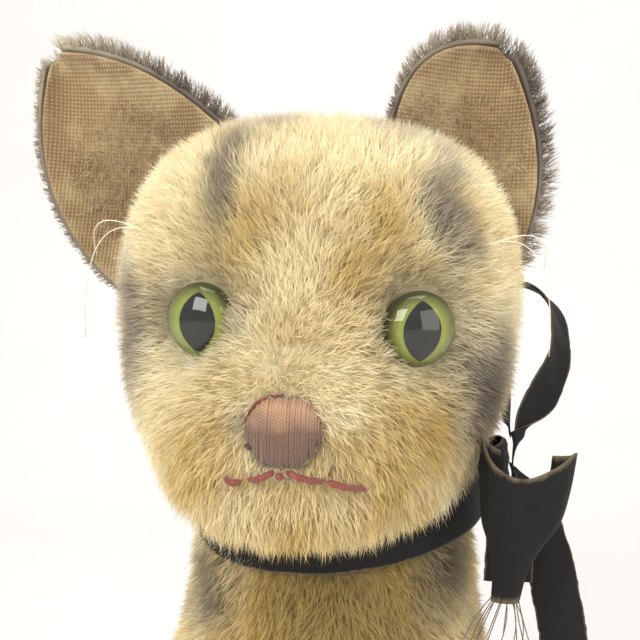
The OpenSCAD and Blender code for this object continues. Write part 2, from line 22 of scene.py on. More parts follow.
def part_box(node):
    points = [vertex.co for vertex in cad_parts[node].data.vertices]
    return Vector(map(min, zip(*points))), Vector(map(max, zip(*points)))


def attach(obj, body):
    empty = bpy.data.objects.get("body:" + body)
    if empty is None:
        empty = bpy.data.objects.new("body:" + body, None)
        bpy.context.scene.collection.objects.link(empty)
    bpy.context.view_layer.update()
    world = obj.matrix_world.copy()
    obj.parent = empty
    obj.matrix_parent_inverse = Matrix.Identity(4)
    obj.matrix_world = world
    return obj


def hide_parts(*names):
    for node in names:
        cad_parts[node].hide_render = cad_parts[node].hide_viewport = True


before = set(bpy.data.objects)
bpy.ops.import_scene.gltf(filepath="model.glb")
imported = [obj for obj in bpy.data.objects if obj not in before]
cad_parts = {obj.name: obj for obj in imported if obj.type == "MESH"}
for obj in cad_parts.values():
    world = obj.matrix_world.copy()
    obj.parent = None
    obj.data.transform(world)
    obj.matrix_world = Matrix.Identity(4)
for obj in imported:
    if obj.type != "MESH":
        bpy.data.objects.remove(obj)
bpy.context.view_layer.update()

log = logging.getLogger("plush_cat")
logging.basicConfig(level=logging.INFO, format="%(name)s %(message)s")

MM = 0.001
NECK_AT = np.array([0.0, -12.0, 126.0])
NECK_TILT = math.radians(8.0)
HEAD_CENTRE = np.array([-4.5, -3.0, 37.0])
NOSE_X = -3.0
TAIL_AT = 8.0
TAIL_REACH = 59.5

Array = np.ndarray
Tree = bpy.types.NodeTree
Socket = bpy.types.NodeSocket


class Side(Enum):
    """The cat's own sides, with the sign of their X."""

    LEFT = 1
    RIGHT = -1

    @property
    def word(self) -> str:
        """The side's name as node names have it."""
        return self.name.lower()


class Body(Enum):
    """The bodies that pieces ride on."""

    HEAD = "head"
    TORSO = "torso"


# ---- Small tools --------------------------------------------------------------------


def neck_matrix() -> Array:
    """The rotation from the neck's frame to the row frame."""
    c, s = math.cos(NECK_TILT), math.sin(NECK_TILT)
    return np.array([[1, 0, 0], [0, c, -s], [0, s, c]])


def from_head(points: Array) -> Array:
    """Moves points from the head's own frame to the row frame."""
    return NECK_AT + (np.asarray(points, float) + HEAD_CENTRE) @ neck_matrix().T


def to_head(points: Array) -> Array:
    """Moves points from the row frame to the head's own frame."""
    return (np.asarray(points, float) - NECK_AT) @ neck_matrix() - HEAD_CENTRE


def unit(v: Array) -> Array:
    """Scales each vector to length one."""
    n = np.linalg.norm(v, axis=-1, keepdims=True)
    return v / np.maximum(n, 1e-9)


def comb(want: Array, normal: Array) -> Array:
    """Lays a direction down along the skin."""
    return unit(want - normal * np.sum(want * normal, axis=1, keepdims=True))


def arc(t: Array | float, a: Array, b: Array, c: Array) -> Array:
    """A curve that leaves a towards b and ends at c, at t from 0 to 1."""
    return (1 - t) ** 2 * a + 2 * t * (1 - t) * b + t * t * c


def box_mm(node: str) -> tuple[Array, Array]:
    """The low and high corners of a CAD node, in millimetres."""
    low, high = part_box(node)
    return np.array(low) / MM, np.array(high) / MM


def grid_faces(rows: int, columns: int, closed: bool = True) -> Array:
    """Four-sided faces between rows of points.

    Args:
        rows: How many rows there are.
        columns: How many points a row has.
        closed: Whether each row is a ring.

    Returns:
        The faces.
    """
    i, k = np.meshgrid(np.arange(rows - 1), np.arange(columns if closed else columns - 1), indexing="ij")
    here, after = i * columns + k, i * columns + (k + 1) % columns
    return np.stack([here, after, after + columns, here + columns], -1).reshape(-1, 4)


def smoothstep(low: float, high: float, x: Array) -> Array:
    """Rises smoothly from 0 at low to 1 at high."""
    t = np.clip((x - low) / (high - low), 0, 1)
    return t * t * (3 - 2 * t)


def linear(colour: str) -> tuple[float, float, float, float]:
    """Turns an sRGB hex colour into linear RGBA.

    Args:
        colour: The colour, such as "#e9dcb0".

    Returns:
        Linear red, green and blue, and an alpha of one.
    """
    channels = [int(colour[i : i + 2], 16) / 255 for i in (1, 3, 5)]
    r, g, b = (c / 12.92 if c <= 0.04045 else ((c + 0.055) / 1.055) ** 2.4 for c in channels)
    return r, g, b, 1.0


def wire(node: bpy.types.Node, inputs: dict) -> None:
    """Sets or feeds a shader node's inputs.

    Args:
        node: The node.
        inputs: Input name or index to a value, a hex colour or the socket that feeds it.
    """
    for key, value in inputs.items():
        if isinstance(value, bpy.types.NodeSocket):
            node.id_data.links.new(value, node.inputs[key])
        else:
            node.inputs[key].default_value = linear(value) if isinstance(value, str) else value


def add_node(
    tree: Tree, kind: str, inputs: dict | None = None, output: int | str = 0, **settings: object
) -> Socket:
    """Adds a shader node, sets it up and wires it.

    Args:
        tree: The node tree to add to.
        kind: The node's type name, without its usual beginning.
        inputs: What wire puts into it.
        output: The name or index of the output that is wanted.
        **settings: Attributes of the node itself.

    Returns:
        The wanted output.
    """
    made = tree.nodes.new("ShaderNode" + kind)
    for name, value in settings.items():
        setattr(made, name, value)
    wire(made, inputs or {})
    return made.outputs[output]


def blotches(at: Socket, size_mm: float, detail: float = 2.0, rough: float = 0.5, mm: float = 1000.0) -> dict:
    """A noise texture's inputs for blotches of a real size."""
    return {"Vector": at, "Scale": mm / (2 * size_mm), "Detail": detail, "Roughness": rough}


def ridges(at: Socket, pitch_mm: float, mm: float = 1000.0) -> dict:
    """A wave texture's inputs for even ridges at a real pitch."""
    scale = mm / pitch_mm * math.tau / 20
    return {"Vector": at, "Scale": scale, "Distortion": 0.4, "Detail": 1.0, "Detail Scale": 1.5}


# ---- Finishes -----------------------------------------------------------------------


@dataclass(frozen=True)
class Finish:
    """A material with a name, made once and shared by its pieces."""

    name: str

    def dress(self, tree: Tree, surface: bpy.types.Node) -> None:
        """Wires the finish into a new Principled shader."""
        raise NotImplementedError

    def material(self) -> bpy.types.Material:
        """The finish's material.

        Returns:
            The material, made on the first call.
        """
        made = bpy.data.materials.get(self.name)
        if made is None:
            made = bpy.data.materials.new(self.name)
            made.use_nodes = True
            self.dress(made.node_tree, made.node_tree.nodes["Principled BSDF"])
        return made


@dataclass(frozen=True)
class MohairPile(Finish):
    """Long mohair plush. Each fibre takes its dye from where it is sewn, and its tip is paler and silkier
    than its root: the darker root is painted shade, standing for the shadow deep in the pile, which gives the
    eye depth and a soft halo."""

    cream: str = "#fbf2d2"
    gold: str = "#dbc27c"
    grey: str = "#9c9082"
    dark: str = "#564c44"

    def dress(self, tree: Tree, surface: bpy.types.Node) -> None:
        """See Finish.dress."""
        zone = add_node(tree, "Attribute", output="Color", attribute_name="pile_zone")
        fibre = add_node(tree, "Attribute", output="Color", attribute_name="pile_fibre")
        dye_and_shade_shares = add_node(tree, "SeparateColor", {"Color": zone}).node.outputs[:3]
        along, chance = add_node(tree, "SeparateColor", {"Color": fibre}).node.outputs[:2]
        colour = self.cream
        for share, dye in zip(dye_and_shade_shares, (self.gold, self.grey, self.dark), strict=True):
            colour = add_node(tree, "Mix", {0: share, 6: colour, 7: dye}, 2, data_type="RGBA")
        lift = add_node(tree, "Math", {0: chance, 1: 0.26, 2: 0.86}, operation="MULTIPLY_ADD")
        # painted shade: each fibre is painted darker at its root (0.84) than at its tip (1.04), for the
        # shadow deep in the pile
        depth = add_node(tree, "Math", {0: along, 1: 0.2, 2: 0.84}, operation="MULTIPLY_ADD")
        shade = add_node(tree, "Math", {0: lift, 1: depth}, operation="MULTIPLY")
        grey = add_node(tree, "CombineColor", {0: shade, 1: shade, 2: shade})
        both = {0: 1.0, 6: colour, 7: grey}
        colour = add_node(tree, "Mix", both, 2, data_type="RGBA", blend_type="MULTIPLY")
        sheen = {"Sheen Weight": 0.25, "Sheen Roughness": 0.4, "Sheen Tint": "#fff6dc"}
        wire(surface, {"Base Color": colour, "Roughness": 0.48, "Specular IOR Level": 0.35, **sheen})
        glow = add_node(tree, "BsdfTranslucent", {"Color": colour})
        lit = add_node(tree, "MixShader", {0: 0.36, 1: surface.outputs[0], 2: glow})
        wire(tree.nodes["Material Output"], {"Surface": lit})


@dataclass(frozen=True)
class WovenCloth(Finish):
    """Plain-woven cotton. Crossing threads at their real pitch catch the light one by
    one, and blotches of wear keep it from looking new."""

    light: str = "#b89d70"
    deep: str = "#8d7048"
    pitch: float = 0.65
    wear: str = "#cdbb93"

    def dress(self, tree: Tree, surface: bpy.types.Node) -> None:
        """See Finish.dress."""
        at = add_node(tree, "TexCoord", output="Object")
        warp = add_node(tree, "TexWave", ridges(at, self.pitch), "Fac")
        weft = add_node(tree, "TexWave", ridges(at, self.pitch * 1.1), "Fac", bands_direction="Z")
        weave = add_node(tree, "Math", {0: warp, 1: weft}, operation="MULTIPLY")
        blotch = add_node(tree, "TexNoise", blotches(at, 5.0, 4.0, 0.6), "Fac")
        colour = add_node(tree, "Mix", {0: weave, 6: self.deep, 7: self.light}, 2, data_type="RGBA")
        worn = add_node(tree, "Math", {0: blotch, 1: 0.45}, operation="SUBTRACT", use_clamp=True)
        worn = add_node(tree, "Math", {0: worn, 1: 2.4}, operation="MULTIPLY", use_clamp=True)
        colour = add_node(tree, "Mix", {0: worn, 6: colour, 7: self.wear}, 2, data_type="RGBA")
        relief = add_node(tree, "Bump", {"Height": weave, "Distance": 0.25 * MM, "Strength": 0.8})
        wire(surface, {"Base Color": colour, "Normal": relief, "Roughness": 0.9, "Sheen Weight": 0.15})


@dataclass(frozen=True)
class Thread(Finish):
    """Twisted sewing or embroidery thread. Slanting plies and a paler worn side show
    that each stitch is spun, not a rod."""

    light: str = "#d79a7c"
    deep: str = "#8f5038"
    worn: str = "#9a7c60"
    worn_below_mm: float = -1000.0

    def dress(self, tree: Tree, surface: bpy.types.Node) -> None:
        """See Finish.dress."""
        at = add_node(tree, "TexCoord", output="Object")
        ply = add_node(tree, "TexWave", ridges(at, 0.35), "Fac", bands_direction="DIAGONAL")
        patch = add_node(tree, "TexNoise", blotches(at, 1.6, 3.0), "Fac")
        colour = add_node(tree, "Mix", {0: ply, 6: self.deep, 7: self.light}, 2, data_type="RGBA")
        height = add_node(tree, "SeparateXYZ", {0: at}, "Z")
        below = add_node(tree, "Math", {0: self.worn_below_mm * MM, 1: height}, operation="SUBTRACT")
        below = add_node(tree, "Math", {0: below, 1: 260.0}, operation="MULTIPLY")
        uneven = add_node(tree, "Math", {0: patch, 1: 0.5}, operation="SUBTRACT")
        below = add_node(tree, "Math", {0: below, 1: uneven}, operation="ADD", use_clamp=True)
        colour = add_node(tree, "Mix", {0: below, 6: colour, 7: self.worn}, 2, data_type="RGBA")
        stain = add_node(tree, "Math", {0: patch, 1: 0.35}, operation="MULTIPLY")
        colour = add_node(tree, "Mix", {0: stain, 6: colour, 7: self.deep}, 2, data_type="RGBA")
        relief = add_node(tree, "Bump", {"Height": ply, "Distance": 0.08 * MM, "Strength": 0.6})
        wire(surface, {"Base Color": colour, "Normal": relief, "Roughness": 0.5, "Sheen Weight": 0.3})


@dataclass(frozen=True)
class RibbonRep(Finish):
    """Black rep ribbon. Fine ribs run across it, and its selvedges have faded to
    beige where they have rubbed."""

    black: str = "#0c0b0b"
    lit: str = "#171614"
    faded: str = "#5f5340"
    worn_from: float = 4.55

    def dress(self, tree: Tree, surface: bpy.types.Node) -> None:
        """See Finish.dress."""
        at = add_node(tree, "UVMap", uv_map="cloth_mm")
        rib = add_node(tree, "TexWave", ridges(at, 0.5, 1.0), "Fac", bands_direction="Y")
        across = add_node(tree, "SeparateXYZ", {0: at}, "X")
        cloud = add_node(tree, "TexNoise", blotches(at, 0.6, 4.0, 0.6, 1.0), "Fac")
        cloud_long = add_node(tree, "TexNoise", blotches(at, 3.0, 2.0, 0.5, 1.0), "Fac")
        lit = add_node(tree, "Math", {0: rib, 1: 0.5}, operation="MULTIPLY")
        colour = add_node(tree, "Mix", {0: lit, 6: self.black, 7: self.lit}, 2, data_type="RGBA")
        edge = add_node(tree, "Math", {0: across}, operation="ABSOLUTE")
        rub = add_node(tree, "Math", {0: cloud, 1: 1.6, 2: -0.8}, operation="MULTIPLY_ADD")
        rub_long = add_node(tree, "Math", {0: cloud_long, 1: 1.4, 2: -0.75}, operation="MULTIPLY_ADD")
        rub = add_node(tree, "Math", {0: rub, 1: rub_long}, operation="ADD")
        rub = add_node(tree, "Math", {0: rub, 1: 1.2}, operation="MULTIPLY")
        near = add_node(tree, "Math", {0: edge, 1: 2.8, 2: -2.8 * self.worn_from}, operation="MULTIPLY_ADD")
        worn = add_node(tree, "Math", {0: near, 1: rub}, operation="ADD", use_clamp=True)
        colour = add_node(tree, "Mix", {0: worn, 6: colour, 7: self.faded}, 2, data_type="RGBA")
        relief = add_node(tree, "Bump", {"Height": rib, "Distance": 0.06 * MM, "Strength": 0.5})
        wire(surface, {"Base Color": colour, "Normal": relief, "Roughness": 0.75})
        wire(surface, {"Specular IOR Level": 0.25, "Sheen Weight": 0.04})


@dataclass(frozen=True)
class BlownGlass(Finish):
    """Clear blown glass. It bends the view of the enamel behind it and holds a sharp
    window highlight, and lamps reach through it."""

    def dress(self, tree: Tree, surface: bpy.types.Node) -> None:
        """See Finish.dress."""
        wire(surface, {"Base Color": "#f4f8f0", "Roughness": 0.02, "IOR": 1.5, "Transmission Weight": 1.0})
        shadow = add_node(tree, "LightPath", output="Is Shadow Ray")
        clear = add_node(tree, "BsdfTransparent", {"Color": "#eef4e8"})
        both = add_node(tree, "MixShader", {0: shadow, 1: surface.outputs[0], 2: clear})
        wire(tree.nodes["Material Output"], {"Surface": both})


@dataclass(frozen=True)
class Enamel(Finish):
    """Fired enamel on the back of an eye. Fine streaks run out from the pupil, and the
    rim is darker than the middle."""

    middle: str = "#868a40"
    rim: str = "#333518"
    centre: tuple[float, float, float] = (0.0, 0.0, 0.0)
    radius: float = 6.9

    def dress(self, tree: Tree, surface: bpy.types.Node) -> None:
        """See Finish.dress."""
        at = add_node(tree, "TexCoord", output="Object")
        centre = [c * MM for c in self.centre]
        off = add_node(tree, "VectorMath", {0: at, 1: centre}, "Value", operation="DISTANCE")
        share = add_node(tree, "Math", {0: off, 1: self.radius * MM}, operation="DIVIDE")
        streak = add_node(tree, "TexNoise", blotches(at, 0.5, 3.0, 0.7), "Fac")
        share = add_node(tree, "Math", {0: streak, 1: 0.12, 2: share}, operation="MULTIPLY_ADD")
        share = add_node(tree, "MapRange", {"Value": share, "From Min": 0.66, "From Max": 0.93})
        colour = add_node(tree, "Mix", {0: share, 6: self.middle, 7: self.rim}, 2, data_type="RGBA")
        wire(surface, {"Base Color": colour, "Roughness": 0.6, "Specular IOR Level": 0.2})


@dataclass(frozen=True)
class Mottled(Finish):
    """A hidden or hard stuff, such as wood wool, card or steel. Noise at its own scale
    breaks up its colour and its surface."""

    light: str = "#c8a968"
    deep: str = "#8f6f3c"
    grain: float = 1.0
    rough: float = 0.8
    metal: float = 0.0
    depth: float = 0.2

    def dress(self, tree: Tree, surface: bpy.types.Node) -> None:
        """See Finish.dress."""
        at = add_node(tree, "TexCoord", output="Object")
        grain = add_node(tree, "TexNoise", blotches(at, self.grain, 5.0, 0.65), "Fac")
        share = add_node(tree, "MapRange", {"Value": grain, "From Min": 0.3, "From Max": 0.7})
        colour = add_node(tree, "Mix", {0: share, 6: self.deep, 7: self.light}, 2, data_type="RGBA")
        relief = add_node(tree, "Bump", {"Height": grain, "Distance": self.depth * MM, "Strength": 0.5})
        wire(surface, {"Base Color": colour, "Normal": relief})
        wire(surface, {"Roughness": self.rough, "Metallic": self.metal})


MOHAIR = MohairPile("long_mohair_pile_dyed_and_worn")
BACKING = WovenCloth("woven_cotton_pile_backing", "#b9a273", "#8c7347")
EAR_CLOTH = WovenCloth("short_worn_ear_cloth", "#b39a72", "#806848", 0.7, "#c6b48c")
WOOD_WOOL = Mottled("packed_wood_wool", "#cfb173", "#8f6f3c", 0.8, 0.9, 0.0, 0.6)
CARD = Mottled("pressed_card_disc", "#96754c", "#6d5234", 0.5, 0.85, 0.0, 0.1)
STEEL = Mottled("drawn_steel_dulled", "#a3a4a3", "#6f7070", 0.6, 0.35, 1.0, 0.02)
NOSE_SILK = Thread("satin_stitched_nose_silk", "#c39c7a", "#8a6347", "#5e4636", 146.6)
NOSE_OUTLINE = Thread("red_outline_thread", "#8e3f2c", "#5a2418")
NOSTRIL_THREAD = Thread("dark_nostril_thread", "#4a3228", "#20140f")
MOUTH_YARN = Thread("red_brown_mouth_yarn", "#90402f", "#5f261b")
CLAW_THREAD = Thread("dark_claw_thread", "#4a382c", "#241a14")
FRAY = Thread("loose_brown_ribbon_threads", "#7a6144", "#3d2e20")
RIBBON = RibbonRep("black_rep_ribbon_faded_edges")
GLASS = BlownGlass("clear_blown_eye_glass")
PUPIL = Mottled("black_fired_enamel", "#0c0d0e", "#050505", 0.4, 0.9, 0.0, 0.0)
FILAMENT = Mottled("pale_nylon_filament", "#f3ecdb", "#d9cfb6", 2.0, 0.35, 0.0, 0.0)


# ---- Meshes -------------------------------------------------------------------------


@dataclass
class Soup:
    """Points, faces and per-point values that become one mesh."""

    points: Array
    faces: list[Array] = field(default_factory=list)

    def mesh(self, name: str, smooth: bool = True) -> bpy.types.Mesh:
        """Writes the points, in millimetres, as a mesh in metres.

        Args:
            name: The mesh's name.
            smooth: Whether its faces are shaded smooth.

        Returns:
            The mesh.
        """
        made = bpy.data.meshes.new(name)
        made.vertices.add(len(self.points))
        made.vertices.foreach_set("co", (np.asarray(self.points, float) * MM).ravel())
        sizes = np.concatenate([np.full(len(f), f.shape[1]) for f in self.faces])
        corners = np.concatenate([f.ravel() for f in self.faces]).astype(np.int32)
        starts = np.concatenate([[0], np.cumsum(sizes)[:-1]]).astype(np.int32)
        made.loops.add(len(corners))
        made.loops.foreach_set("vertex_index", corners)
        made.polygons.add(len(sizes))
        made.polygons.foreach_set("loop_start", starts)
        made.polygons.foreach_set("use_smooth", np.full(len(sizes), smooth))
        made.update(calc_edges=True)
        return made


def show(
    name: str,
    mesh: bpy.types.Mesh,
    body: Body,
    finishes: Sequence[Finish],
    nodes: Sequence[str] = (),
) -> bpy.types.Object:
    """Puts a mesh in the scene as a piece.

    Args:
        name: The piece's name.
        mesh: Its mesh, in metres, in its place.
        body: The body that it rides on.
        finishes: Its finishes, in slot order.
        nodes: The CAD nodes that it stands for.

    Returns:
        The new object.
    """
    made = bpy.data.objects.new(name, mesh)
    bpy.context.scene.collection.objects.link(made)
    mesh.materials.clear()
    for finish in finishes:
        mesh.materials.append(finish.material())
    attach(made, body.value)
    if nodes:
        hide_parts(*nodes)
    log.info("%s: %d faces on %s", name, len(mesh.polygons), body.value)
    return made


def cad_copy(names: Sequence[str]) -> bmesh.types.BMesh:
    """Copies CAD nodes into one welded mesh.

    Args:
        names: The nodes.

    Returns:
        A new bmesh, in metres.
    """
    made = bmesh.new()
    for name in names:
        made.from_mesh(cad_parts[name].data)
    bmesh.ops.remove_doubles(made, verts=made.verts, dist=1e-6)
    bmesh.ops.recalc_face_normals(made, faces=made.faces)
    return made


def cad_mesh(names: Sequence[str]) -> bpy.types.Mesh:
    """Copies CAD nodes into one welded mesh of the blend file."""
    work = cad_copy(names)
    made = bpy.data.meshes.new(names[0])
    work.to_mesh(made)
    work.free()
    return made


def through_modifiers(mesh: bpy.types.Mesh, *steps: tuple[str, dict]) -> bpy.types.Mesh:
    """Runs a mesh through modifiers.

    Args:
        mesh: The mesh, which is used up.
        *steps: Pairs of modifier type and its settings.

    Returns:
        The resulting mesh.
    """
    holder = bpy.data.objects.new("work", mesh)
    bpy.context.scene.collection.objects.link(holder)
    for kind, settings in steps:
        step = holder.modifiers.new(kind.lower(), kind)
        for key, value in settings.items():
            setattr(step, key, value)
    bpy.context.view_layer.update()
    result = bpy.data.meshes.new_from_object(holder.evaluated_get(bpy.context.evaluated_depsgraph_get()))
    bpy.data.objects.remove(holder)
    return result


def points_of(mesh: bpy.types.Mesh) -> Array:
    """A mesh's points, in millimetres."""
    flat = np.empty(3 * len(mesh.vertices), np.float32)
    mesh.vertices.foreach_get("co", flat)
    return flat.reshape(-1, 3).astype(float) / MM


def skin_of(mesh: bpy.types.Mesh) -> tuple[Array, Array, Array]:
    """A mesh's points in millimetres, its triangles and its point normals."""
    mesh.calc_loop_triangles()
    triangles = np.array([t.vertices[:] for t in mesh.loop_triangles])
    return points_of(mesh), triangles, np.array([v.normal[:] for v in mesh.vertices])


@dataclass
class StuffedForm:
    """A stuffed body, head or limb: one closed surface, puffed by cloth pressure."""

    name: str
    nodes: tuple[str, ...]
    voxel: float = 2.2
    cap: float = 0.9
    shrink: float = 0.5

    def build(self) -> bpy.types.Mesh:
        """Remeshes the CAD skins and filling as one surface and puffs it.

        Returns:
            The form's mesh, in metres, smooth and closed.
        """
        mesh = through_modifiers(
            cad_mesh(self.nodes),
            ("REMESH", {"mode": "VOXEL", "voxel_size": self.voxel * MM}),
            ("SMOOTH", {"iterations": 4, "factor": 0.5}),
        )
        mesh = self.outer_shell(mesh)
        mesh = self.puffed(mesh)
        return through_modifiers(mesh, ("SUBSURF", {"levels": 1, "render_levels": 1}))

    def outer_shell(self, mesh: bpy.types.Mesh) -> bpy.types.Mesh:
        """Keeps the largest closed shell, because a remesh also wraps inner hollows.

        Args:
            mesh: The remeshed form.

        Returns:
            The same mesh with its inner shells gone.
        """
        work = bmesh.new()
        work.from_mesh(mesh)
        unseen = set(work.verts)
        best: list = []
        while unseen:
            group, edge = [], [unseen.pop()]
            while edge:
                vert = edge.pop()
                group.append(vert)
                for link in vert.link_edges:
                    other = link.other_vert(vert)
                    if other in unseen:
                        unseen.remove(other)
                        edge.append(other)
            if len(group) > len(best):
                best = group
        keep = set(best)
        bmesh.ops.delete(work, geom=[v for v in work.verts if v not in keep], context="VERTS")
        for vert, normal in [(v, v.normal.copy()) for v in work.verts]:
            vert.co -= normal * self.shrink * MM
        work.to_mesh(mesh)
        work.free()
        return mesh

    def puffed(self, mesh: bpy.types.Mesh) -> bpy.types.Mesh:
        """Swells the form with cloth pressure, and limits how far a point may go.

        Args:
            mesh: The form before it is filled.

        Returns:
            The filled form.
        """
        start = points_of(mesh)
        holder = bpy.data.objects.new(self.name + "_sim", mesh)
        scene = bpy.context.scene
        scene.collection.objects.link(holder)
        cloth = holder.modifiers.new("cloth", "CLOTH")
        cloth.settings.use_pressure = True
        cloth.settings.uniform_pressure_force = 4.0
        cloth.settings.effector_weights.gravity = 0.0
        cloth.settings.quality = 4
        cloth.collision_settings.use_collision = False
        cloth.point_cache.frame_start = 1
        cloth.point_cache.frame_end = 20
        for step in range(1, 21):
            scene.frame_set(step)
        result = bpy.data.meshes.new_from_object(
            holder.evaluated_get(bpy.context.evaluated_depsgraph_get())
        )
        bpy.data.objects.remove(holder)
        scene.frame_set(1)
        moved = points_of(result) - start
        far = np.linalg.norm(moved, axis=1, keepdims=True)
        moved *= np.minimum(1.0, self.cap / np.maximum(far, 1e-6))
        result.vertices.foreach_set("co", ((start + moved) * MM).ravel())
        result.update()
        log.info("%s puffed by at most %.2f mm", self.name, float(np.minimum(far, self.cap).max()))
        return result


# ---- Pile ---------------------------------------------------------------------------


@dataclass(frozen=True)
class Patch:
    """A soft-edged patch of dye, or a place where the pile changes.

    centre and radius are in the frame that the coat is described in."""

    centre: tuple[float, float, float]
    radius: tuple[float, float, float]
    strength: float = 1.0

    def weight(self, points: Array) -> Array:
        """How strongly each point belongs to the patch."""
        off = (points - np.array(self.centre)) / np.array(self.radius)
        return self.strength * np.exp(-np.sum(off * off, axis=1) ** 1.5)


def cover(points: Array, patches: Sequence[Patch]) -> Array:
    """The joint weight of several patches.

    Args:
        points: Points in the coat's frame.
        patches: The patches.

    Returns:
        Weights from 0 to 1.
    """
    bare = np.ones(len(points))
    for patch in patches:
        bare *= 1 - patch.weight(points)
    return 1 - bare


def drift(points: Array, size: float, seed: int, count: int = 7) -> Array:
    """A smooth random field.

    Args:
        points: Where to sample it.
        size: The width of its swirls, in millimetres.
        seed: Its seed.
        count: How many waves it sums.

    Returns:
        One vector to a point, each part from about -1 to 1.
    """
    dice = np.random.default_rng(seed)
    field_ = np.zeros((len(points), 3))
    for _ in range(count):
        wave = dice.normal(size=3) / size * 2.2
        phase = dice.uniform(0, math.tau, 3)
        field_ += np.sin((points @ wave)[:, None] + phase)
    return field_ / math.sqrt(count)


@dataclass(frozen=True)
class Coat:
    """How the pile grows on a form: its colours, its flow and its length."""

    flow: Callable[[Array, Array], Array]
    length: Callable[[Array], Array]
    bare: Callable[[Array, Array], Array]
    to_local: Callable[[Array], Array] = lambda p: p
    lean: Callable[[Array], Array] = lambda p: np.full(len(p), 0.55)
    gold: tuple[Patch, ...] = ()
    grey: tuple[Patch, ...] = ()
    dark: tuple[Patch, ...] = ()
    gold_base: float = 0.2

    def zones(self, points: Array, seed: int) -> Array:
        """Dye shares at each root. The dark share also carries painted shade where a coat puts it, as round
        the head's eyes.

        Args:
            points: Roots in the row frame, in millimetres.
            seed: Seed of the mottling.

        Returns:
            Shares of gold, grey and dark, one row to a root.
        """
        local = self.to_local(points)
        ruffled = local + drift(local, 7.0, seed) * 1.6 + drift(local, 2.2, seed + 1) * 0.7
        mottle = drift(local, 11.0, seed + 2)[:, 0] * 0.16 + drift(local, 3.0, seed + 3)[:, 0] * 0.1
        gold = np.clip(self.gold_base + cover(ruffled, self.gold) + mottle, 0, 1)
        grey = np.clip(cover(ruffled, self.grey), 0, 1)
        dark = np.clip(cover(ruffled, self.dark), 0, 1)
        return np.stack([gold, grey, dark], axis=1)


@dataclass(frozen=True)
class Pile:
    """Fibres grown on a skin."""

    density: float
    width: float
    levels: int = 3
    clump: float = 0.55
    clump_size: float = 1.3
    curl: float = 0.35
    seed: int = 1

    def grow(
        self, points: Array, triangles: Array, normals: Array, coat: Coat
    ) -> tuple[Soup, Array, Array, Array]:
        """Grows the fibres.

        Args:
            points: The skin's points, in millimetres.
            triangles: Its triangles.
            normals: Its point normals.
            coat: The coat that they belong to.

        Returns:
            The fibres, each point's dye shares, each point's place along its fibre
            with the fibre's own chance value, and each point's root.
        """
        dice = np.random.default_rng(self.seed)
        roots, normal = self.roots(dice, points, triangles, normals)
        keep = dice.uniform(size=len(roots)) > coat.bare(roots, normal)
        roots, normal = roots[keep], normal[keep]
        flow = coat.flow(roots, normal)
        length = coat.length(roots) * dice.uniform(0.72, 1.12, len(roots))
        tips, bend = self.tips(dice, roots, normal, flow * coat.lean(roots)[:, None], length)
        count, levels = len(roots), self.levels
        t = np.linspace(0, 1, levels)
        spine = np.empty((levels, count, 3))
        side_push = unit(np.cross(normal, flow + 1e-4)) * (dice.normal(size=(count, 1)) * self.curl)
        for k, s in enumerate(t):
            spine[k] = arc(s, roots - 0.4 * normal, bend, tips)
            spine[k] += side_push * math.sin(math.pi * s * 1.7) * length[:, None] * 0.22
        across = unit(np.cross(tips - roots, dice.normal(size=(count, 3))))
        width = self.width * dice.uniform(0.7, 1.25, count)
        rows = []
        for k, s in enumerate(t[:-1]):
            half = across * (width * (1 - 0.55 * s * s) / 2)[:, None]
            rows += [spine[k] - half, spine[k] + half]
        rows.append(spine[-1])
        per = 2 * (levels - 1) + 1
        stacked = np.stack(rows, axis=1).reshape(-1, 3)
        base = (np.arange(count) * per)[:, None]
        quads = [base + np.array([2 * k, 2 * k + 1, 2 * k + 3, 2 * k + 2]) for k in range(levels - 2)]
        last = base + np.array([per - 3, per - 2, per - 1])
        faces = ([np.concatenate(quads)] if quads else []) + [last]
        zones = np.repeat(coat.zones(roots, self.seed), per, axis=0)
        along = np.tile(np.concatenate([np.repeat(t[:-1], 2), [1.0]]), count)
        chance = np.repeat(dice.uniform(size=count), per)
        fibre = np.stack([along, chance], axis=1)
        return Soup(stacked, faces), zones, fibre, np.repeat(roots, per, axis=0)

    def roots(
        self, dice: np.random.Generator, points: Array, triangles: Array, normals: Array
    ) -> tuple[Array, Array]:
        """Scatters roots evenly over the skin.

        Args:
            dice: The random source.
            points: The skin's points.
            triangles: Its triangles.
            normals: Its point normals.

        Returns:
            The roots and the skin's normal at each.
        """
        a, b, c = (points[triangles[:, i]] for i in range(3))
        area = np.linalg.norm(np.cross(b - a, c - a), axis=1) / 2
        count = int(area.sum() * self.density)
        pick = dice.choice(len(area), count, p=area / area.sum())
        u, v = dice.uniform(size=(2, count))
        over = u + v > 1
        u[over], v[over] = 1 - u[over], 1 - v[over]
        w = np.stack([1 - u - v, u, v], axis=1)[:, :, None]
        corners = triangles[pick]
        return (points[corners] * w).sum(1), unit((normals[corners] * w).sum(1))

    def tips(
        self, dice: np.random.Generator, roots: Array, normal: Array, flow: Array, length: Array
    ) -> tuple[Array, Array]:
        """Leans the fibres and draws neighbours together into locks.

        Args:
            dice: The random source.
            roots: The roots.
            normal: The skin's normals.
            flow: The way that the pile is combed, as long as it leans.
            length: The fibres' lengths.

        Returns:
            The tips, and the points that the fibres bend towards on the way.
        """
        stray = dice.normal(size=roots.shape) * 0.26
        rise = unit(normal + flow * 0.5 + stray)
        fall = unit(normal * 0.62 + flow * 1.5 + stray)
        step = length[:, None]
        tips = roots + step * (0.5 * rise + 0.45 * fall)
        bend = roots + step * 0.55 * rise
        picks = dice.choice(len(roots), max(8, int(len(roots) / (self.density * self.clump_size**2))), False)
        tree = KDTree(len(picks))
        for i, p in enumerate(picks):
            tree.insert(roots[p], i)
        tree.balance()
        near = np.array([tree.find(r)[1] for r in roots])
        head = picks[near]
        draw = (self.clump * dice.uniform(0.3, 1.0, len(roots)))[:, None]
        tips += (tips[head] - tips) * draw * 0.9
        bend += (bend[head] - bend) * draw * 0.35
        return tips, bend


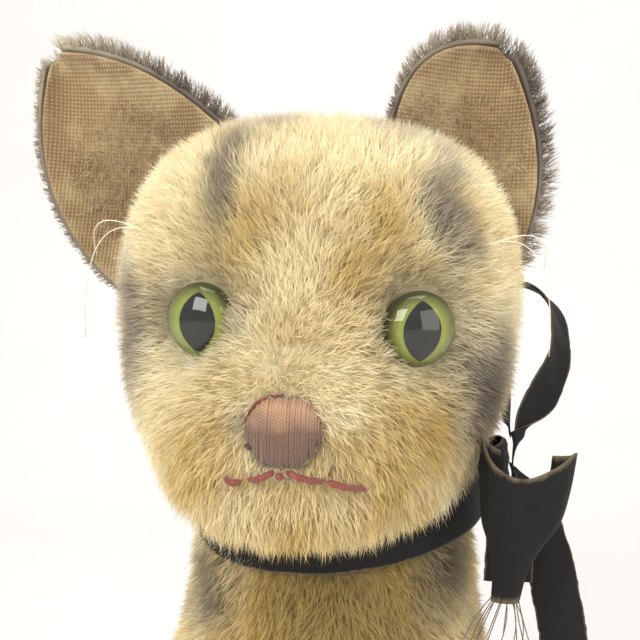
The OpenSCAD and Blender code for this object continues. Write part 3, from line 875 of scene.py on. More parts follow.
def barrel_uv(points: Array, centre: Array, low: float, high: float, turn: float) -> Array:
    """Unrolls points round an upright axis.

    Args:
        points: The points.
        centre: Where the axis stands.
        low: The height that maps to 0.
        high: The height that maps to 1.
        turn: The angle where the map is cut open.

    Returns:
        UV pairs from 0 to 1.
    """
    off = points - centre
    angle = (np.arctan2(off[:, 1], off[:, 0]) - turn) % math.tau
    return np.stack([angle / math.tau, (points[:, 2] - low) / (high - low)], axis=1)


@dataclass
class PlushPanel:
    """One sewn panel: its part of a stuffed form, a backing under it and pile on it."""

    name: str
    nodes: tuple[str, ...]
    body: Body
    coat: Coat
    pile: Pile
    inside: Callable[[Array], Array] = lambda p: np.ones(len(p), bool)
    fill: float = 0.8
    thickness: float = 0.9

    def build(self, form: bpy.types.Mesh) -> bpy.types.Object:
        """Cuts the panel from the form and grows its pile.

        Args:
            form: The stuffed form's mesh.

        Returns:
            The panel.
        """
        points, triangles, normals = skin_of(form)
        mine = self.inside(points[triangles].mean(axis=1))
        triangles = triangles[mine]
        soup, zones, fibre, roots = self.pile.grow(points, triangles, normals, self.coat)
        used = np.unique(triangles)
        index = np.full(len(points), -1)
        index[used] = np.arange(len(used))
        skin = points[used]
        inner = skin - normals[used] * self.thickness
        local = index[triangles]
        shell = np.concatenate([local, local[:, ::-1] + len(skin), self.rim(local, len(skin))])
        all_points = np.concatenate([skin, inner, soup.points])
        all_points[:, 2] = np.maximum(all_points[:, 2], 0.0)  # the floor presses the pile flat
        offset = 2 * len(skin)
        mesh = Soup(all_points, [shell] + [f + offset for f in soup.faces]).mesh(self.name)
        mesh.polygons.foreach_set(
            "material_index",
            np.concatenate([np.zeros(len(shell), int), np.ones(sum(len(f) for f in soup.faces), int)]),
        )
        skin_zones = self.coat.zones(np.concatenate([skin, skin]), self.pile.seed)
        # the backing counts as a fibre root, so it carries the painted root shade too
        skin_fibre = np.tile([0.0, 0.4], (offset, 1))
        self.store(mesh, "pile_zone", np.concatenate([skin_zones, zones]))
        self.store(mesh, "pile_fibre", np.concatenate([skin_fibre, fibre]))
        self.unroll(mesh, np.concatenate([skin, skin, roots]), soup.points - roots, offset)
        made = show(self.name, mesh, self.body, (MOHAIR, MOHAIR), self.nodes)
        return made

    @staticmethod
    def rim(triangles: Array, count: int) -> Array:
        """The wall round a panel's cut edge.

        Args:
            triangles: The panel's triangles.
            count: How many points its outer face has.

        Returns:
            The wall's triangles.
        """
        edges = np.concatenate([triangles[:, [0, 1]], triangles[:, [1, 2]], triangles[:, [2, 0]]])
        known = {(int(a), int(b)) for a, b in edges}
        open_ = np.array([(a, b) for a, b in known if (b, a) not in known]).reshape(-1, 2)
        a, b = open_[:, 0], open_[:, 1]
        return np.concatenate([np.stack([b, a, a + count], 1), np.stack([b, a + count, b + count], 1)])

    @staticmethod
    def store(mesh: bpy.types.Mesh, name: str, values: Array) -> None:
        """Stores up to three values at each point as a colour attribute.

        Args:
            mesh: The mesh.
            name: The attribute's name.
            values: One row to a point.
        """
        rgba = np.ones((len(values), 4), np.float32)
        rgba[:, : values.shape[1]] = values
        layer = mesh.color_attributes.new(name, "FLOAT_COLOR", "POINT")
        layer.data.foreach_set("color", rgba.ravel())

    def unroll(self, mesh: bpy.types.Mesh, roots: Array, lift: Array, skin_count: int) -> None:
        """Gives the panel a UV map in which each fibre lies beside its root.

        Args:
            mesh: The panel's mesh.
            roots: Each point's root.
            lift: Each fibre point's offset from its root.
            skin_count: How many points the skin has.
        """
        low, high = roots.min(0), roots.max(0)
        centre = (low + high) / 2
        span = np.maximum(high - low, 1.0)
        uv = barrel_uv(roots, centre, low[2] - 1, high[2] + 1, 0.0 if centre[0] < 0 else math.pi)
        spread = np.stack([lift[:, 0] + lift[:, 1], lift[:, 2] + lift[:, 0]], 1) * 0.2
        uv[skin_count:] += spread / (span.max() * 2)
        uv = np.clip(uv, 0.002, 0.998)
        corner = np.empty(len(mesh.loops), np.int32)
        mesh.loops.foreach_get("vertex_index", corner)
        layer = mesh.uv_layers.new(name="OFBake")
        layer.data.foreach_set("uv", uv[corner].astype(np.float32).ravel())


# ---- Head ---------------------------------------------------------------------------

SEAM_ANGLE = 20.0  # where the side panels meet the gusset, in degrees from the middle
EYE_TURN = math.radians(22.0)
EYE_RADIUS = 6.9
BOWL_RADIUS = 6.75
BAND_LEAN = math.radians(7.0)
KNOT_TURN = math.radians(-32.0)
NOSE_Z = -13.6
NOSE_TALL = 11.8
NOSE_WIDE = 13.0
MOUTH_RUNS = (
    ((-10.0, -22.9), (-7.1, -22.8)),
    ((-5.8, -22.3), (-1.4, -20.0)),
    ((0.8, -20.0), (7.1, -21.9)),
    ((7.6, -22.0), (14.6, -24.6)),
)


def nose_half(t: Array) -> Array:
    """Half the nose's width, from its top at 0 to its foot at 1."""
    angle = np.radians(26 + 130 * np.clip(t, 0, 1))
    return NOSE_WIDE / 2 * np.sin(angle) ** 0.8


def near_point(points: Array, at: Sequence[float]) -> Array:
    """Distance of each point from a place."""
    return np.linalg.norm(points - np.array(at), axis=1)


def eye_place(side: Side) -> Array:
    """The middle of an eye's back, in the head's own frame."""
    return to_head(sum(box_mm(f"eye_{side.word}_iris")) / 2)


def head_flow(points: Array, normal: Array) -> Array:
    """Combs the head's pile away from the nose, and down on the cheeks and chin.

    Args:
        points: Roots in the row frame.
        normal: The skin's normals there.

    Returns:
        Unit vectors along the skin.
    """
    local = to_head(points)
    away = unit(local - np.array([NOSE_X, -52.0, NOSE_Z + 4]))
    down = np.array([0.0, 0.0, -1.0])
    low = smoothstep(4, -26, local[:, 2])[:, None]
    want = away * (1 - 0.5 * low) + down * (0.25 + 1.1 * low)
    for side in Side:
        eye = eye_place(side)
        from_eye = unit(local - eye)
        close = np.exp(-((near_point(local, eye) / 9.5) ** 4))[:, None]
        want = want * (1 - close) + from_eye * close * 1.2
    want = want + drift(local, 9.0, 5) * 0.34 + drift(local, 3.2, 6) * 0.22
    return comb(want @ neck_matrix().T, normal)


def head_length(points: Array) -> Array:
    """Pile length on the head: short on the muzzle and round the eyes, long on the chin.

    Args:
        points: Roots in the row frame.

    Returns:
        Lengths in millimetres.
    """
    local = to_head(points)
    length = np.full(len(local), 6.2)
    length -= 3.0 * np.exp(-((near_point(local, (NOSE_X, -48, NOSE_Z + 1)) / 14) ** 2))
    length += 2.6 * smoothstep(-24, -33, local[:, 2])
    for side in Side:
        length -= 3.2 * np.exp(-((near_point(local, eye_place(side)) / 9.8) ** 6))
    for (x0, z0), (x1, z1) in MOUTH_RUNS:
        for s in (0.0, 0.5, 1.0):
            off = np.hypot(local[:, 0] - NOSE_X - x0 - (x1 - x0) * s, local[:, 2] - z0 - (z1 - z0) * s)
            length -= 0.9 * np.exp(-((off / 2.6) ** 2)) * (local[:, 1] < -30)
    return np.maximum(length, 1.6)


def head_lean(points: Array) -> Array:
    """How far the head's pile lies over: it stands on the crown and hangs at the chin."""
    return 0.4 + 0.6 * smoothstep(-12, -30, to_head(points)[:, 2])


def head_bare(points: Array, _normal: Array) -> Array:
    """Where no pile grows on the head: under the eyes, nose and neck.

    Args:
        points: Roots in the row frame.
        _normal: The skin's normals there.

    Returns:
        The chance that a root is bare.
    """
    local = to_head(points)
    bare = np.zeros(len(local))
    for side in Side:
        bare = np.maximum(bare, near_point(local, eye_place(side)) < EYE_RADIUS + 0.2)
    t = (NOSE_Z + NOSE_TALL / 2 - local[:, 2]) / NOSE_TALL
    nose = (np.abs(local[:, 0] - NOSE_X) < nose_half(t) - 0.3) & (t > 0.04) & (t < 0.96) & (local[:, 1] < -30)
    bare = np.maximum(bare, nose)
    under = (local[:, 2] < -34.8) & (np.hypot(local[:, 0] - 4.5, local[:, 1] - 3) < 32.5)
    return np.maximum(bare, under)


HEAD_COAT = Coat(
    to_local=to_head,
    flow=head_flow,
    length=head_length,
    bare=head_bare,
    lean=head_lean,
    gold=(
        Patch((-12, -30, 18), (9, 30, 10), 0.55),
        Patch((12, -30, 10), (9, 30, 9), 0.6),
        Patch((16, -36, -20), (14, 30, 11), 0.75),
        Patch((-16, -36, -20), (12, 30, 10), 0.5),
        Patch((0, -36, -32), (24, 30, 9), 0.6),
        Patch((0, 20, 10), (30, 24, 30), 0.4),
    ),
    grey=(
        Patch((-16, -24, 24), (3.0, 22, 9), 0.95),
        Patch((23, -22, 20.5), (3.4, 20, 9), 0.9),
        Patch((-10, -6, 36), (6, 14, 8), 0.55),
        Patch((15, -2, 36), (7, 14, 8), 0.55),
        Patch((-32.5, -18, -4), (5, 16, 15), 0.95),
        Patch((30.5, -22, -11), (8, 15, 11), 1.0),
        Patch((-9.5, -40, -14), (2.4, 10, 4), 0.5),
        Patch((5, -40, -15), (2.4, 10, 4), 0.5),
        Patch((0, 26, 22), (7, 22, 26), 0.7),
        Patch((-20, 24, 12), (5, 22, 22), 0.6),
        Patch((20, 24, 12), (5, 22, 22), 0.6),
    ),
    dark=(
        # painted shade round each eye for the shadow of its socket, partly the real dark fibres there
        Patch(tuple(eye_place(Side.LEFT)), (8.3, 8.3, 8.3), 0.75),
        Patch(tuple(eye_place(Side.RIGHT)), (8.3, 8.3, 8.3), 0.75),
        Patch((33, -20, -12), (6, 12, 8), 0.5),
        Patch((24, -10, 33), (4, 12, 6), 0.3),
        Patch((-17, -14, 31), (3, 12, 6), 0.25),
    ),
    gold_base=0.1,
)
HEAD_PILE = Pile(density=7.6, width=0.14, levels=4, clump=0.5, clump_size=1.1, seed=11)


def side_angle(points: Array) -> Array:
    """How far out to the side a point of the head lies, in degrees from the middle."""
    local = to_head(points)
    return np.degrees(np.arcsin(np.clip(local[:, 0] / np.linalg.norm(local, axis=1), -1, 1)))


def below_mouth(points: Array) -> Array:
    """Whether a point of the head lies on the chin panel."""
    local = to_head(points)
    turn = np.degrees(np.arctan2(local[:, 2], -local[:, 1]))
    return (turn < -26) & (turn > -90)


@dataclass
class Head:
    """The stuffed head, its panels and its ears."""

    def build(self) -> None:
        """Makes the head's soft pieces."""
        panels: dict[str, Callable[[Array], Array]] = {
            "head_side_left": lambda p: side_angle(p) >= SEAM_ANGLE,
            "head_side_right": lambda p: -side_angle(p) >= SEAM_ANGLE,
            "head_gusset": lambda p: (np.abs(side_angle(p)) < SEAM_ANGLE) & ~below_mouth(p),
            "chin_gusset": lambda p: (np.abs(side_angle(p)) < SEAM_ANGLE) & below_mouth(p),
        }
        form = StuffedForm("head_form", (*panels, "head_filling")).build()
        for node, inside in panels.items():
            PlushPanel(f"{node}_plush", (node,), Body.HEAD, HEAD_COAT, HEAD_PILE, inside).build(form)
        for side in Side:
            self.ear(side)

    def ear(self, side: Side) -> None:
        """Makes one ear: the short cloth inside and the pile behind.

        Args:
            side: Which ear.
        """
        lining, back = f"ear_{side.word}_lining", f"ear_{side.word}_back"
        mesh = cad_mesh([lining])
        for poly in mesh.polygons:
            poly.use_smooth = True
        mesh = through_modifiers(mesh, ("SUBSURF", {"levels": 2, "render_levels": 2}))
        piece = show(f"ear_{side.word}_cloth", mesh, Body.HEAD, (EAR_CLOTH,), (lining,))
        form = through_modifiers(cad_mesh([back]), ("SUBSURF", {"levels": 1, "render_levels": 1}))
        PlushPanel(
            f"ear_{side.word}_plush",
            (back,),
            Body.HEAD,
            ear_coat(side),
            Pile(density=9.0, width=0.16, levels=4, clump=0.6, seed=21 + side.value),
            fill=0.2,
            thickness=0.1,
        ).build(form)
        self.short_pile(side, piece.data)

    @staticmethod
    def short_pile(side: Side, lining: bpy.types.Mesh) -> None:
        """Grows the sparse short pile that is left inside an ear.

        Args:
            side: Which ear.
            lining: The lining's mesh.
        """
        points, triangles, normals = skin_of(lining)
        middle = np.mean(points, axis=0)

        def bare(at: Array, normal: Array) -> Array:
            """Bare behind, and worn away towards the ear's edge."""
            worn = smoothstep(9, 17, np.linalg.norm(at - middle + np.array([side.value * 5, 0, 7]), axis=1))
            return np.where(normal[:, 1] > -0.1, 1.0, 0.35 + 0.65 * worn)

        coat = Coat(
            flow=lambda p, n: unit(np.array([0.0, -0.2, 1.0]) + drift(p, 5.0, 9) * 0.3),
            length=lambda p: np.full(len(p), 2.6),
            bare=bare,
            lean=lambda p: np.full(len(p), 0.9),
            grey=(Patch(tuple(middle), (60, 60, 60), 0.45),),
            gold_base=0.3,
        )
        pile = Pile(density=5.0, width=0.16, levels=3, clump=0.7, seed=25)
        soup, zones, fibre, _ = pile.grow(points, triangles, normals, coat)
        name = f"ear_{side.word}_short_pile"
        mesh = soup.mesh(name)
        PlushPanel.store(mesh, "pile_zone", zones)
        PlushPanel.store(mesh, "pile_fibre", fibre)
        made = show(name, mesh, Body.HEAD, (MOHAIR,))


def ear_coat(side: Side) -> Coat:
    """The pile on the back of an ear, which stands past its edge as a fringe.

    Args:
        side: Which ear.

    Returns:
        The coat.
    """
    low, high = box_mm(f"ear_{side.word}_back")
    base = np.array([side.value * 24.0, -6.0, low[2] + 6])
    middle = (low + high) / 2

    def flow(points: Array, normal: Array) -> Array:
        """Combs the pile out from the ear's root."""
        return comb(unit(points - base) + np.array([0, 0.1, 0.25]) + drift(points, 6.0, 8) * 0.3, normal)

    lining = cad_copy([f"ear_{side.word}_lining"])
    tree = BVHTree.FromBMesh(lining)
    lining.free()

    def bare(points: Array, normal: Array) -> Array:
        """Bare where the skin faces the lining."""
        faced = np.array([tree.find_nearest(Vector(p * MM))[1] for p in points])
        return (np.sum(faced * normal, axis=1) < -0.3).astype(float)

    return Coat(
        flow=flow,
        length=lambda p: 1.7 + 3.1 * smoothstep(-12, 6, (p - middle) @ np.array([1.0, 0.0, 0.55])),
        bare=bare,
        gold=(Patch(tuple(middle), (30, 30, 30), 0.2),),
        grey=(Patch(tuple(middle), (40, 40, 40), 1.0),),
        dark=(Patch(tuple(middle + np.array([6.0, 0.0, 12.0])), (22, 22, 14), 0.7),),
        gold_base=0.2,
    )


# ---- Torso --------------------------------------------------------------------------


def body_flow(points: Array, normal: Array) -> Array:
    """Combs the body's pile down and a little back."""
    want = np.array([0.0, 0.15, -1.0]) + drift(points, 10.0, 15) * 0.4 + drift(points, 3.5, 16) * 0.22
    return comb(want, normal)


def floor_bare(points: Array, _normal: Array) -> Array:
    """Where no pile grows on the body: on what it stands on and under the neck's discs."""
    top = (points - NECK_AT) @ neck_matrix()
    return ((points[:, 2] < 1.2) | (top[:, 2] > -3.2) & (np.hypot(top[:, 0], top[:, 1]) < 27)).astype(float)


def body_length(points: Array) -> Array:
    """Pile length on the body, short near the floor so that the cat sits flat."""
    neck = np.linalg.norm(points - NECK_AT, axis=1)
    return 5.4 - 3.2 * np.exp(-((points[:, 2] / 7) ** 2)) - 2.4 * np.exp(-((neck / 27) ** 6))


def tail_flow(points: Array, normal: Array) -> Array:
    """Combs the tail's pile from the body to the tip."""
    off = points - np.array([TAIL_AT, TAIL_AT, 0.0])
    round_ = unit(np.stack([off[:, 1], -off[:, 0], -3 * np.ones(len(off))], axis=1))
    return comb(round_ + drift(points, 6.0, 17) * 0.3, normal)


BODY_COAT = Coat(
    flow=body_flow,
    length=body_length,
    bare=floor_bare,
    gold=(
        Patch((2, -38, 104), (20, 30, 30), 1.0),
        Patch((0, -30, 60), (22, 30, 40), 0.6),
        Patch((0, 40, 70), (50, 30, 60), 0.5),
    ),
    grey=(
        Patch((22, -30, 108), (7, 22, 9), 0.7),
        Patch((-24, -30, 104), (7, 22, 9), 0.7),
        Patch((16, -36, 94), (5, 20, 6), 0.5),
        Patch((0, 30, 100), (12, 30, 34), 0.7),
        *(Patch((s * 42, 12, z), (22, 34, 5.5), 0.75) for s in (1, -1) for z in (28, 50, 72, 94)),
    ),
    dark=(
        Patch((2, -38, 102), (16, 24, 26), 0.34),
        Patch((25, -28, 110), (6, 16, 8), 0.5),
        Patch((-26, -26, 105), (6, 16, 8), 0.45),
    ),
    gold_base=0.4,
)
LIMB_COAT = Coat(
    flow=body_flow,
    length=lambda p: 4.4 - 2.9 * np.exp(-((p[:, 2] / 6) ** 2)),
    bare=floor_bare,
    grey=tuple(Patch((s * 18, -40, z), (30, 30, 3.4), 0.45) for s in (1, -1) for z in (40, 56, 70))
    + tuple(Patch((s * 52, 20, z), (14, 30, 4.5), 0.6) for s in (1, -1) for z in (24, 40)),
    gold_base=0.25,
)
TAIL_COAT = Coat(
    flow=tail_flow,
    length=lambda p: 4.6 - 3.0 * np.exp(-((p[:, 2] / 6) ** 2)),
    bare=floor_bare,
    grey=tuple(
        Patch((TAIL_AT + TAIL_REACH * math.cos(t), TAIL_AT + TAIL_REACH * math.sin(t), 9), (6, 6, 14), 0.85)
        for t in np.radians([68, 46, 24, 2, -20])
    ),
    gold_base=0.35,
)
BODY_PILE = Pile(density=3.3, width=0.23, levels=3, seed=31)
CHEST_PILE = Pile(density=5.5, width=0.18, levels=3, seed=32)
LIMB_PILE = Pile(density=3.0, width=0.24, levels=3, seed=33)


@dataclass
class Torso:
    """The stuffed body, legs and tail."""

    def build(self) -> None:
        """Makes the torso's soft pieces."""
        belly, seat = self.belly, self.seat
        panels: dict[str, tuple[Pile, float, Callable[[Array], Array]]] = {
            "body_side_left": (BODY_PILE, 0.9, lambda p: (p[:, 0] >= 0) & ~belly(p) & ~seat(p)),
            "body_side_right": (BODY_PILE, 0.9, lambda p: (p[:, 0] <= 0) & ~belly(p) & ~seat(p)),
            "belly_gusset": (CHEST_PILE, 0.9, lambda p: belly(p) & ~seat(p)),
            "seat_panel": (BODY_PILE, 0.5, seat),
        }
        form = StuffedForm("body_form", (*panels, "body_filling"), voxel=2.8).build()
        for node, (pile, thick, inside) in panels.items():
            PlushPanel(
                f"{node}_plush", (node,), Body.TORSO, BODY_COAT, pile, inside, thickness=thick
            ).build(form)
        for side in Side:
            for end in ("front", "hind"):
                self.limb(f"{end}_leg_{side.word}", LIMB_COAT)
        self.limb("tail", TAIL_COAT)

    @staticmethod
    def belly(points: Array) -> Array:
        """Whether a point lies on the belly gusset."""
        return (np.abs(points[:, 0]) < 15) & (points[:, 1] < 0)

    @staticmethod
    def seat(points: Array) -> Array:
        """Whether a point lies on the seat panel."""
        return points[:, 2] < 1.3

    @staticmethod
    def limb(node: str, coat: Coat) -> None:
        """Makes one leg or the tail."""
        form = StuffedForm(f"{node}_form", (node, f"{node}_filling"), cap=0.6).build()
        PlushPanel(f"{node}_plush", (node,), Body.TORSO, coat, LIMB_PILE).build(form)


# ---- Stitches -----------------------------------------------------------------------


def tube(path: Array, radii: Array, sides: int = 8, twist: float = 0.0, flatten: float = 0.0) -> Soup:
    """A tube along a path, with rounded ends.

    Args:
        path: Its points, in millimetres.
        radii: Its radius at each.
        sides: Its sides.
        twist: Turns of two-ply relief over its length.
        flatten: How much the two plies stand apart, as a share of the radius.

    Returns:
        The tube.
    """
    path = np.asarray(path, float)
    along = unit(np.gradient(path, axis=0))
    up = np.array([0.0, 0.0, 1.0]) if abs(along[:, 2]).mean() < 0.8 else np.array([0.0, -1.0, 0.0])
    side = unit(np.cross(up, along))
    lift = np.cross(along, side)
    angle = np.linspace(0, math.tau, sides, endpoint=False)
    turn = np.linspace(0, math.tau * twist, len(path))[:, None]
    swell = 1 + flatten * np.cos(2 * (angle[None, :] + turn))
    ring = swell[:, :, None] * (
        np.cos(angle)[None, :, None] * side[:, None] + np.sin(angle)[None, :, None] * lift[:, None]
    )
    points = (path[:, None] + ring * np.asarray(radii, float)[:, None, None]).reshape(-1, 3)
    ends = np.array([np.arange(sides)[::-1], (len(path) - 1) * sides + np.arange(sides)])
    return Soup(points, [grid_faces(len(path), sides), ends])


def joined(soups: Sequence[Soup]) -> Soup:
    """Puts several soups into one.

    Args:
        soups: The soups.

    Returns:
        The one soup.
    """
    faces, start = [], 0
    for soup in soups:
        faces += [f + start for f in soup.faces]
        start += len(soup.points)
    return Soup(np.concatenate([s.points for s in soups]), faces)


def show_on_head(name: str, soups: Sequence[Soup], slot: str, finish: Finish, *nodes: str) -> None:
    """Shows soups as one piece that rides on the head."""
    show(name, joined(soups).mesh(name), Body.HEAD, (finish,), nodes)


@dataclass
class Face:
    """The embroidered nose and mouth, the glass eyes and the whisker filaments."""

    def build(self) -> None:
        """Makes the face's pieces."""
        work = bmesh.new()
        for name in ("head_gusset", "chin_gusset", "head_side_left", "head_side_right"):
            work.from_mesh(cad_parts[name].data)
        tree = BVHTree.FromBMesh(work)
        work.free()
        self.nose(tree)
        self.mouth(tree)
        for side in Side:
            self.eye(side)
            self.whiskers(side)

    @staticmethod
    def on_face(tree: BVHTree, x: float, z: float, lift: float) -> Array:
        """A point of the face seen from in front.

        Args:
            tree: The head's skin.
            x: Its place across, in the head's own frame.
            z: Its place upwards.
            lift: How far it stands off the skin.

        Returns:
            The point in the row frame, in millimetres.
        """
        start = from_head(np.array([x, -90.0, z]))
        way = neck_matrix() @ np.array([0.0, 1.0, 0.0])
        hit = tree.ray_cast(Vector(start * MM), Vector(way))[0]
        return np.array(hit) / MM - way * lift

    def nose(self, tree: BVHTree) -> None:
        """Lays satin stitches side by side over the nose.

        Args:
            tree: The head's skin.
        """
        dice = np.random.default_rng(41)
        stitches = []
        levels = np.linspace(0, 1, 200)
        for x in np.linspace(-NOSE_WIDE / 2 + 0.25, NOSE_WIDE / 2 - 0.25, 29):
            covered = levels[nose_half(levels) >= abs(x)]
            top = NOSE_Z + NOSE_TALL * (0.5 - covered[0]) + dice.uniform(-0.2, 0.2)
            low = NOSE_Z + NOSE_TALL * (0.5 - covered[-1]) + dice.uniform(-0.3, 0.3)
            bulge = 1 - 0.75 * abs(2 * x / NOSE_WIDE) ** 2.6
            dome = 2.3 * np.sqrt(np.clip(1 - np.abs(np.linspace(-1, 1, 11)) ** 3, 0, 1)) * bulge
            sway = dice.uniform(-0.12, 0.12, 2)
            path = [
                self.on_face(tree, NOSE_X + x + sway[0] * (1 - k / 10) + sway[1] * k / 10, z, 0.1 + d)
                for k, (z, d) in enumerate(zip(np.linspace(top, low, 11), dome, strict=True))
            ]
            stitches.append(tube(np.array(path), np.full(11, 0.29), 6, 5.0, 0.12))
        show_on_head("nose_satin_stitch", stitches, "nose_silk", NOSE_SILK, "nose_stitching")
        line = [(-6.6, 1.2), (-5.9, 3.2), (-4.6, 4.9), (-2.6, 6.1), (-0.2, 6.5)]
        path = [self.on_face(tree, NOSE_X + x, NOSE_Z + z, 0.7) for x, z in line]
        thread = tube(np.array(path), np.array([0.2, 0.3, 0.34, 0.3, 0.2]), 8, 6.0, 0.15)
        show_on_head("nose_outline_thread", [thread], "mouth_yarn", NOSE_OUTLINE)
        dots = []
        for x, z in ((-5.6, -2.6), (5.2, -1.4)):
            path = [self.on_face(tree, NOSE_X + x + d, NOSE_Z + z, 0.9) for d in (-0.8, 0, 0.8)]
            dots.append(tube(np.array(path), np.array([0.4, 0.75, 0.4]), 8))
        show_on_head("nostril_stitches", dots, "claw_thread", NOSTRIL_THREAD)

    def mouth(self, tree: BVHTree) -> None:
        """Lays the mouth's long yarn stitches.

        Args:
            tree: The head's skin.
        """
        soups = []
        for (x0, z0), (x1, z1) in MOUTH_RUNS:
            t = np.linspace(0, 1, 9)
            path = [
                self.on_face(
                    tree, NOSE_X + x0 + (x1 - x0) * s, z0 + (z1 - z0) * s, 1.5 + 1.0 * math.sin(math.pi * s)
                )
                for s in t
            ]
            radii = 0.62 * np.clip(np.sin(math.pi * (0.08 + 0.84 * t)) * 2.4, 0.3, 1)
            soups.append(tube(np.array(path), radii, 10, 2.2, 0.22))
        knot = self.on_face(tree, NOSE_X - 0.3, -20.7, 2.1)
        soups.append(tube(knot + np.array([[-0.7, 0, 0.3], [0, 0, 0], [0.6, 0, -0.3]]), [0.4, 0.8, 0.4], 8))
        show_on_head("mouth_yarn_stitches", soups, "mouth_yarn", MOUTH_YARN, "mouth_stitching")

    @staticmethod
    def eye(side: Side) -> None:
        """Makes one eye: a clear dome, a bowl of green enamel and a black almond.

        Args:
            side: Which eye.
        """
        turn = Matrix.Rotation(side.value * EYE_TURN, 3, "Z") @ Matrix.Rotation(math.pi / 2, 3, "X")
        place = neck_matrix() @ np.array(turn)
        centre = from_head(eye_place(side))

        def dome(radius: float, height: float, z: float, rings: int = 20, sides: int = 64) -> Soup:
            """A closed lens with a flat back.

            Args:
                radius: Its radius.
                height: How far its middle stands out.
                z: Where its back lies.
                rings: Rings from rim to middle.
                sides: Points to a ring.

            Returns:
                The lens, in the row frame.
            """
            angle = np.linspace(0, math.tau, sides, endpoint=False)
            r = radius * np.cos(np.linspace(0, 0.497 * math.pi, rings))
            h = z + 0.35 + (height - 0.35) * np.sin(np.linspace(0, 0.497 * math.pi, rings))
            r, h = np.concatenate([[radius * 0.985], r]), np.concatenate([[z], h])
            rows = np.stack(
                [r[:, None] * np.cos(angle), r[:, None] * np.sin(angle), np.repeat(h[:, None], sides, 1)], -1
            )
            caps = np.array([np.arange(sides)[::-1], rings * sides + np.arange(sides)])
            return Soup(rows.reshape(-1, 3) @ place.T + centre, [grid_faces(rings + 1, sides), caps])

        eye = f"eye_{side.word}"
        glass, bowl = dome(EYE_RADIUS, 5.1, 0.3), dome(BOWL_RADIUS, 1.5, 0.35)
        show_on_head(f"{eye}_dome", [glass], "eye_glass", GLASS, f"{eye}_glass")
        iris = Enamel(f"green_fired_enamel_{side.word}", centre=tuple(centre))
        show_on_head(f"{eye}_enamel", [bowl], "iris_enamel", iris, f"{eye}_iris")
        t = np.linspace(0, math.tau, 48, endpoint=False)
        rim = np.stack([3.1 * np.cos(t) * np.abs(np.cos(t)) ** 0.6, 4.8 * np.sin(t)], 1)
        rings = [1.0, 0.8, 0.6, 0.4, 0.2, 0.05]
        rows = []
        for share in rings:
            flat = rim * share
            off = np.hypot(flat[:, 0], flat[:, 1]) / BOWL_RADIUS
            height = 0.35 + 0.35 + 1.15 * np.sqrt(np.clip(1 - off**2, 0, 1)) + 0.08
            rows.append(np.stack([flat[:, 0], flat[:, 1], height], 1))
        points = np.concatenate(rows)
        cap = np.arange(48)[None] + (len(rings) - 1) * 48
        pupil = Soup(points @ place.T + centre, [grid_faces(len(rings), 48), cap])
        show_on_head(f"{eye}_almond", [pupil], "pupil_enamel", PUPIL, f"{eye}_pupil")

    @staticmethod
    def whiskers(side: Side) -> None:
        """Makes the thin filaments at one temple.

        Args:
            side: Which temple.
        """
        t = np.linspace(0, 1, 24)[:, None]
        root, bend = np.array([31.0, -19, 15]), np.array([44.0, -22, 22])
        soups = []
        for end in ((45.0, -16, -6), (43.0, -14, 10)):
            path = arc(t, root, bend, np.array(end))
            path[:, 0] *= side.value
            soups.append(tube(from_head(path), np.full(24, 0.09), 6))
        name = f"whisker_filaments_{side.word}"
        show_on_head(name, soups, "whisker_filament", FILAMENT, f"whiskers_{side.word}")


# ---- Ribbon -------------------------------------------------------------------------


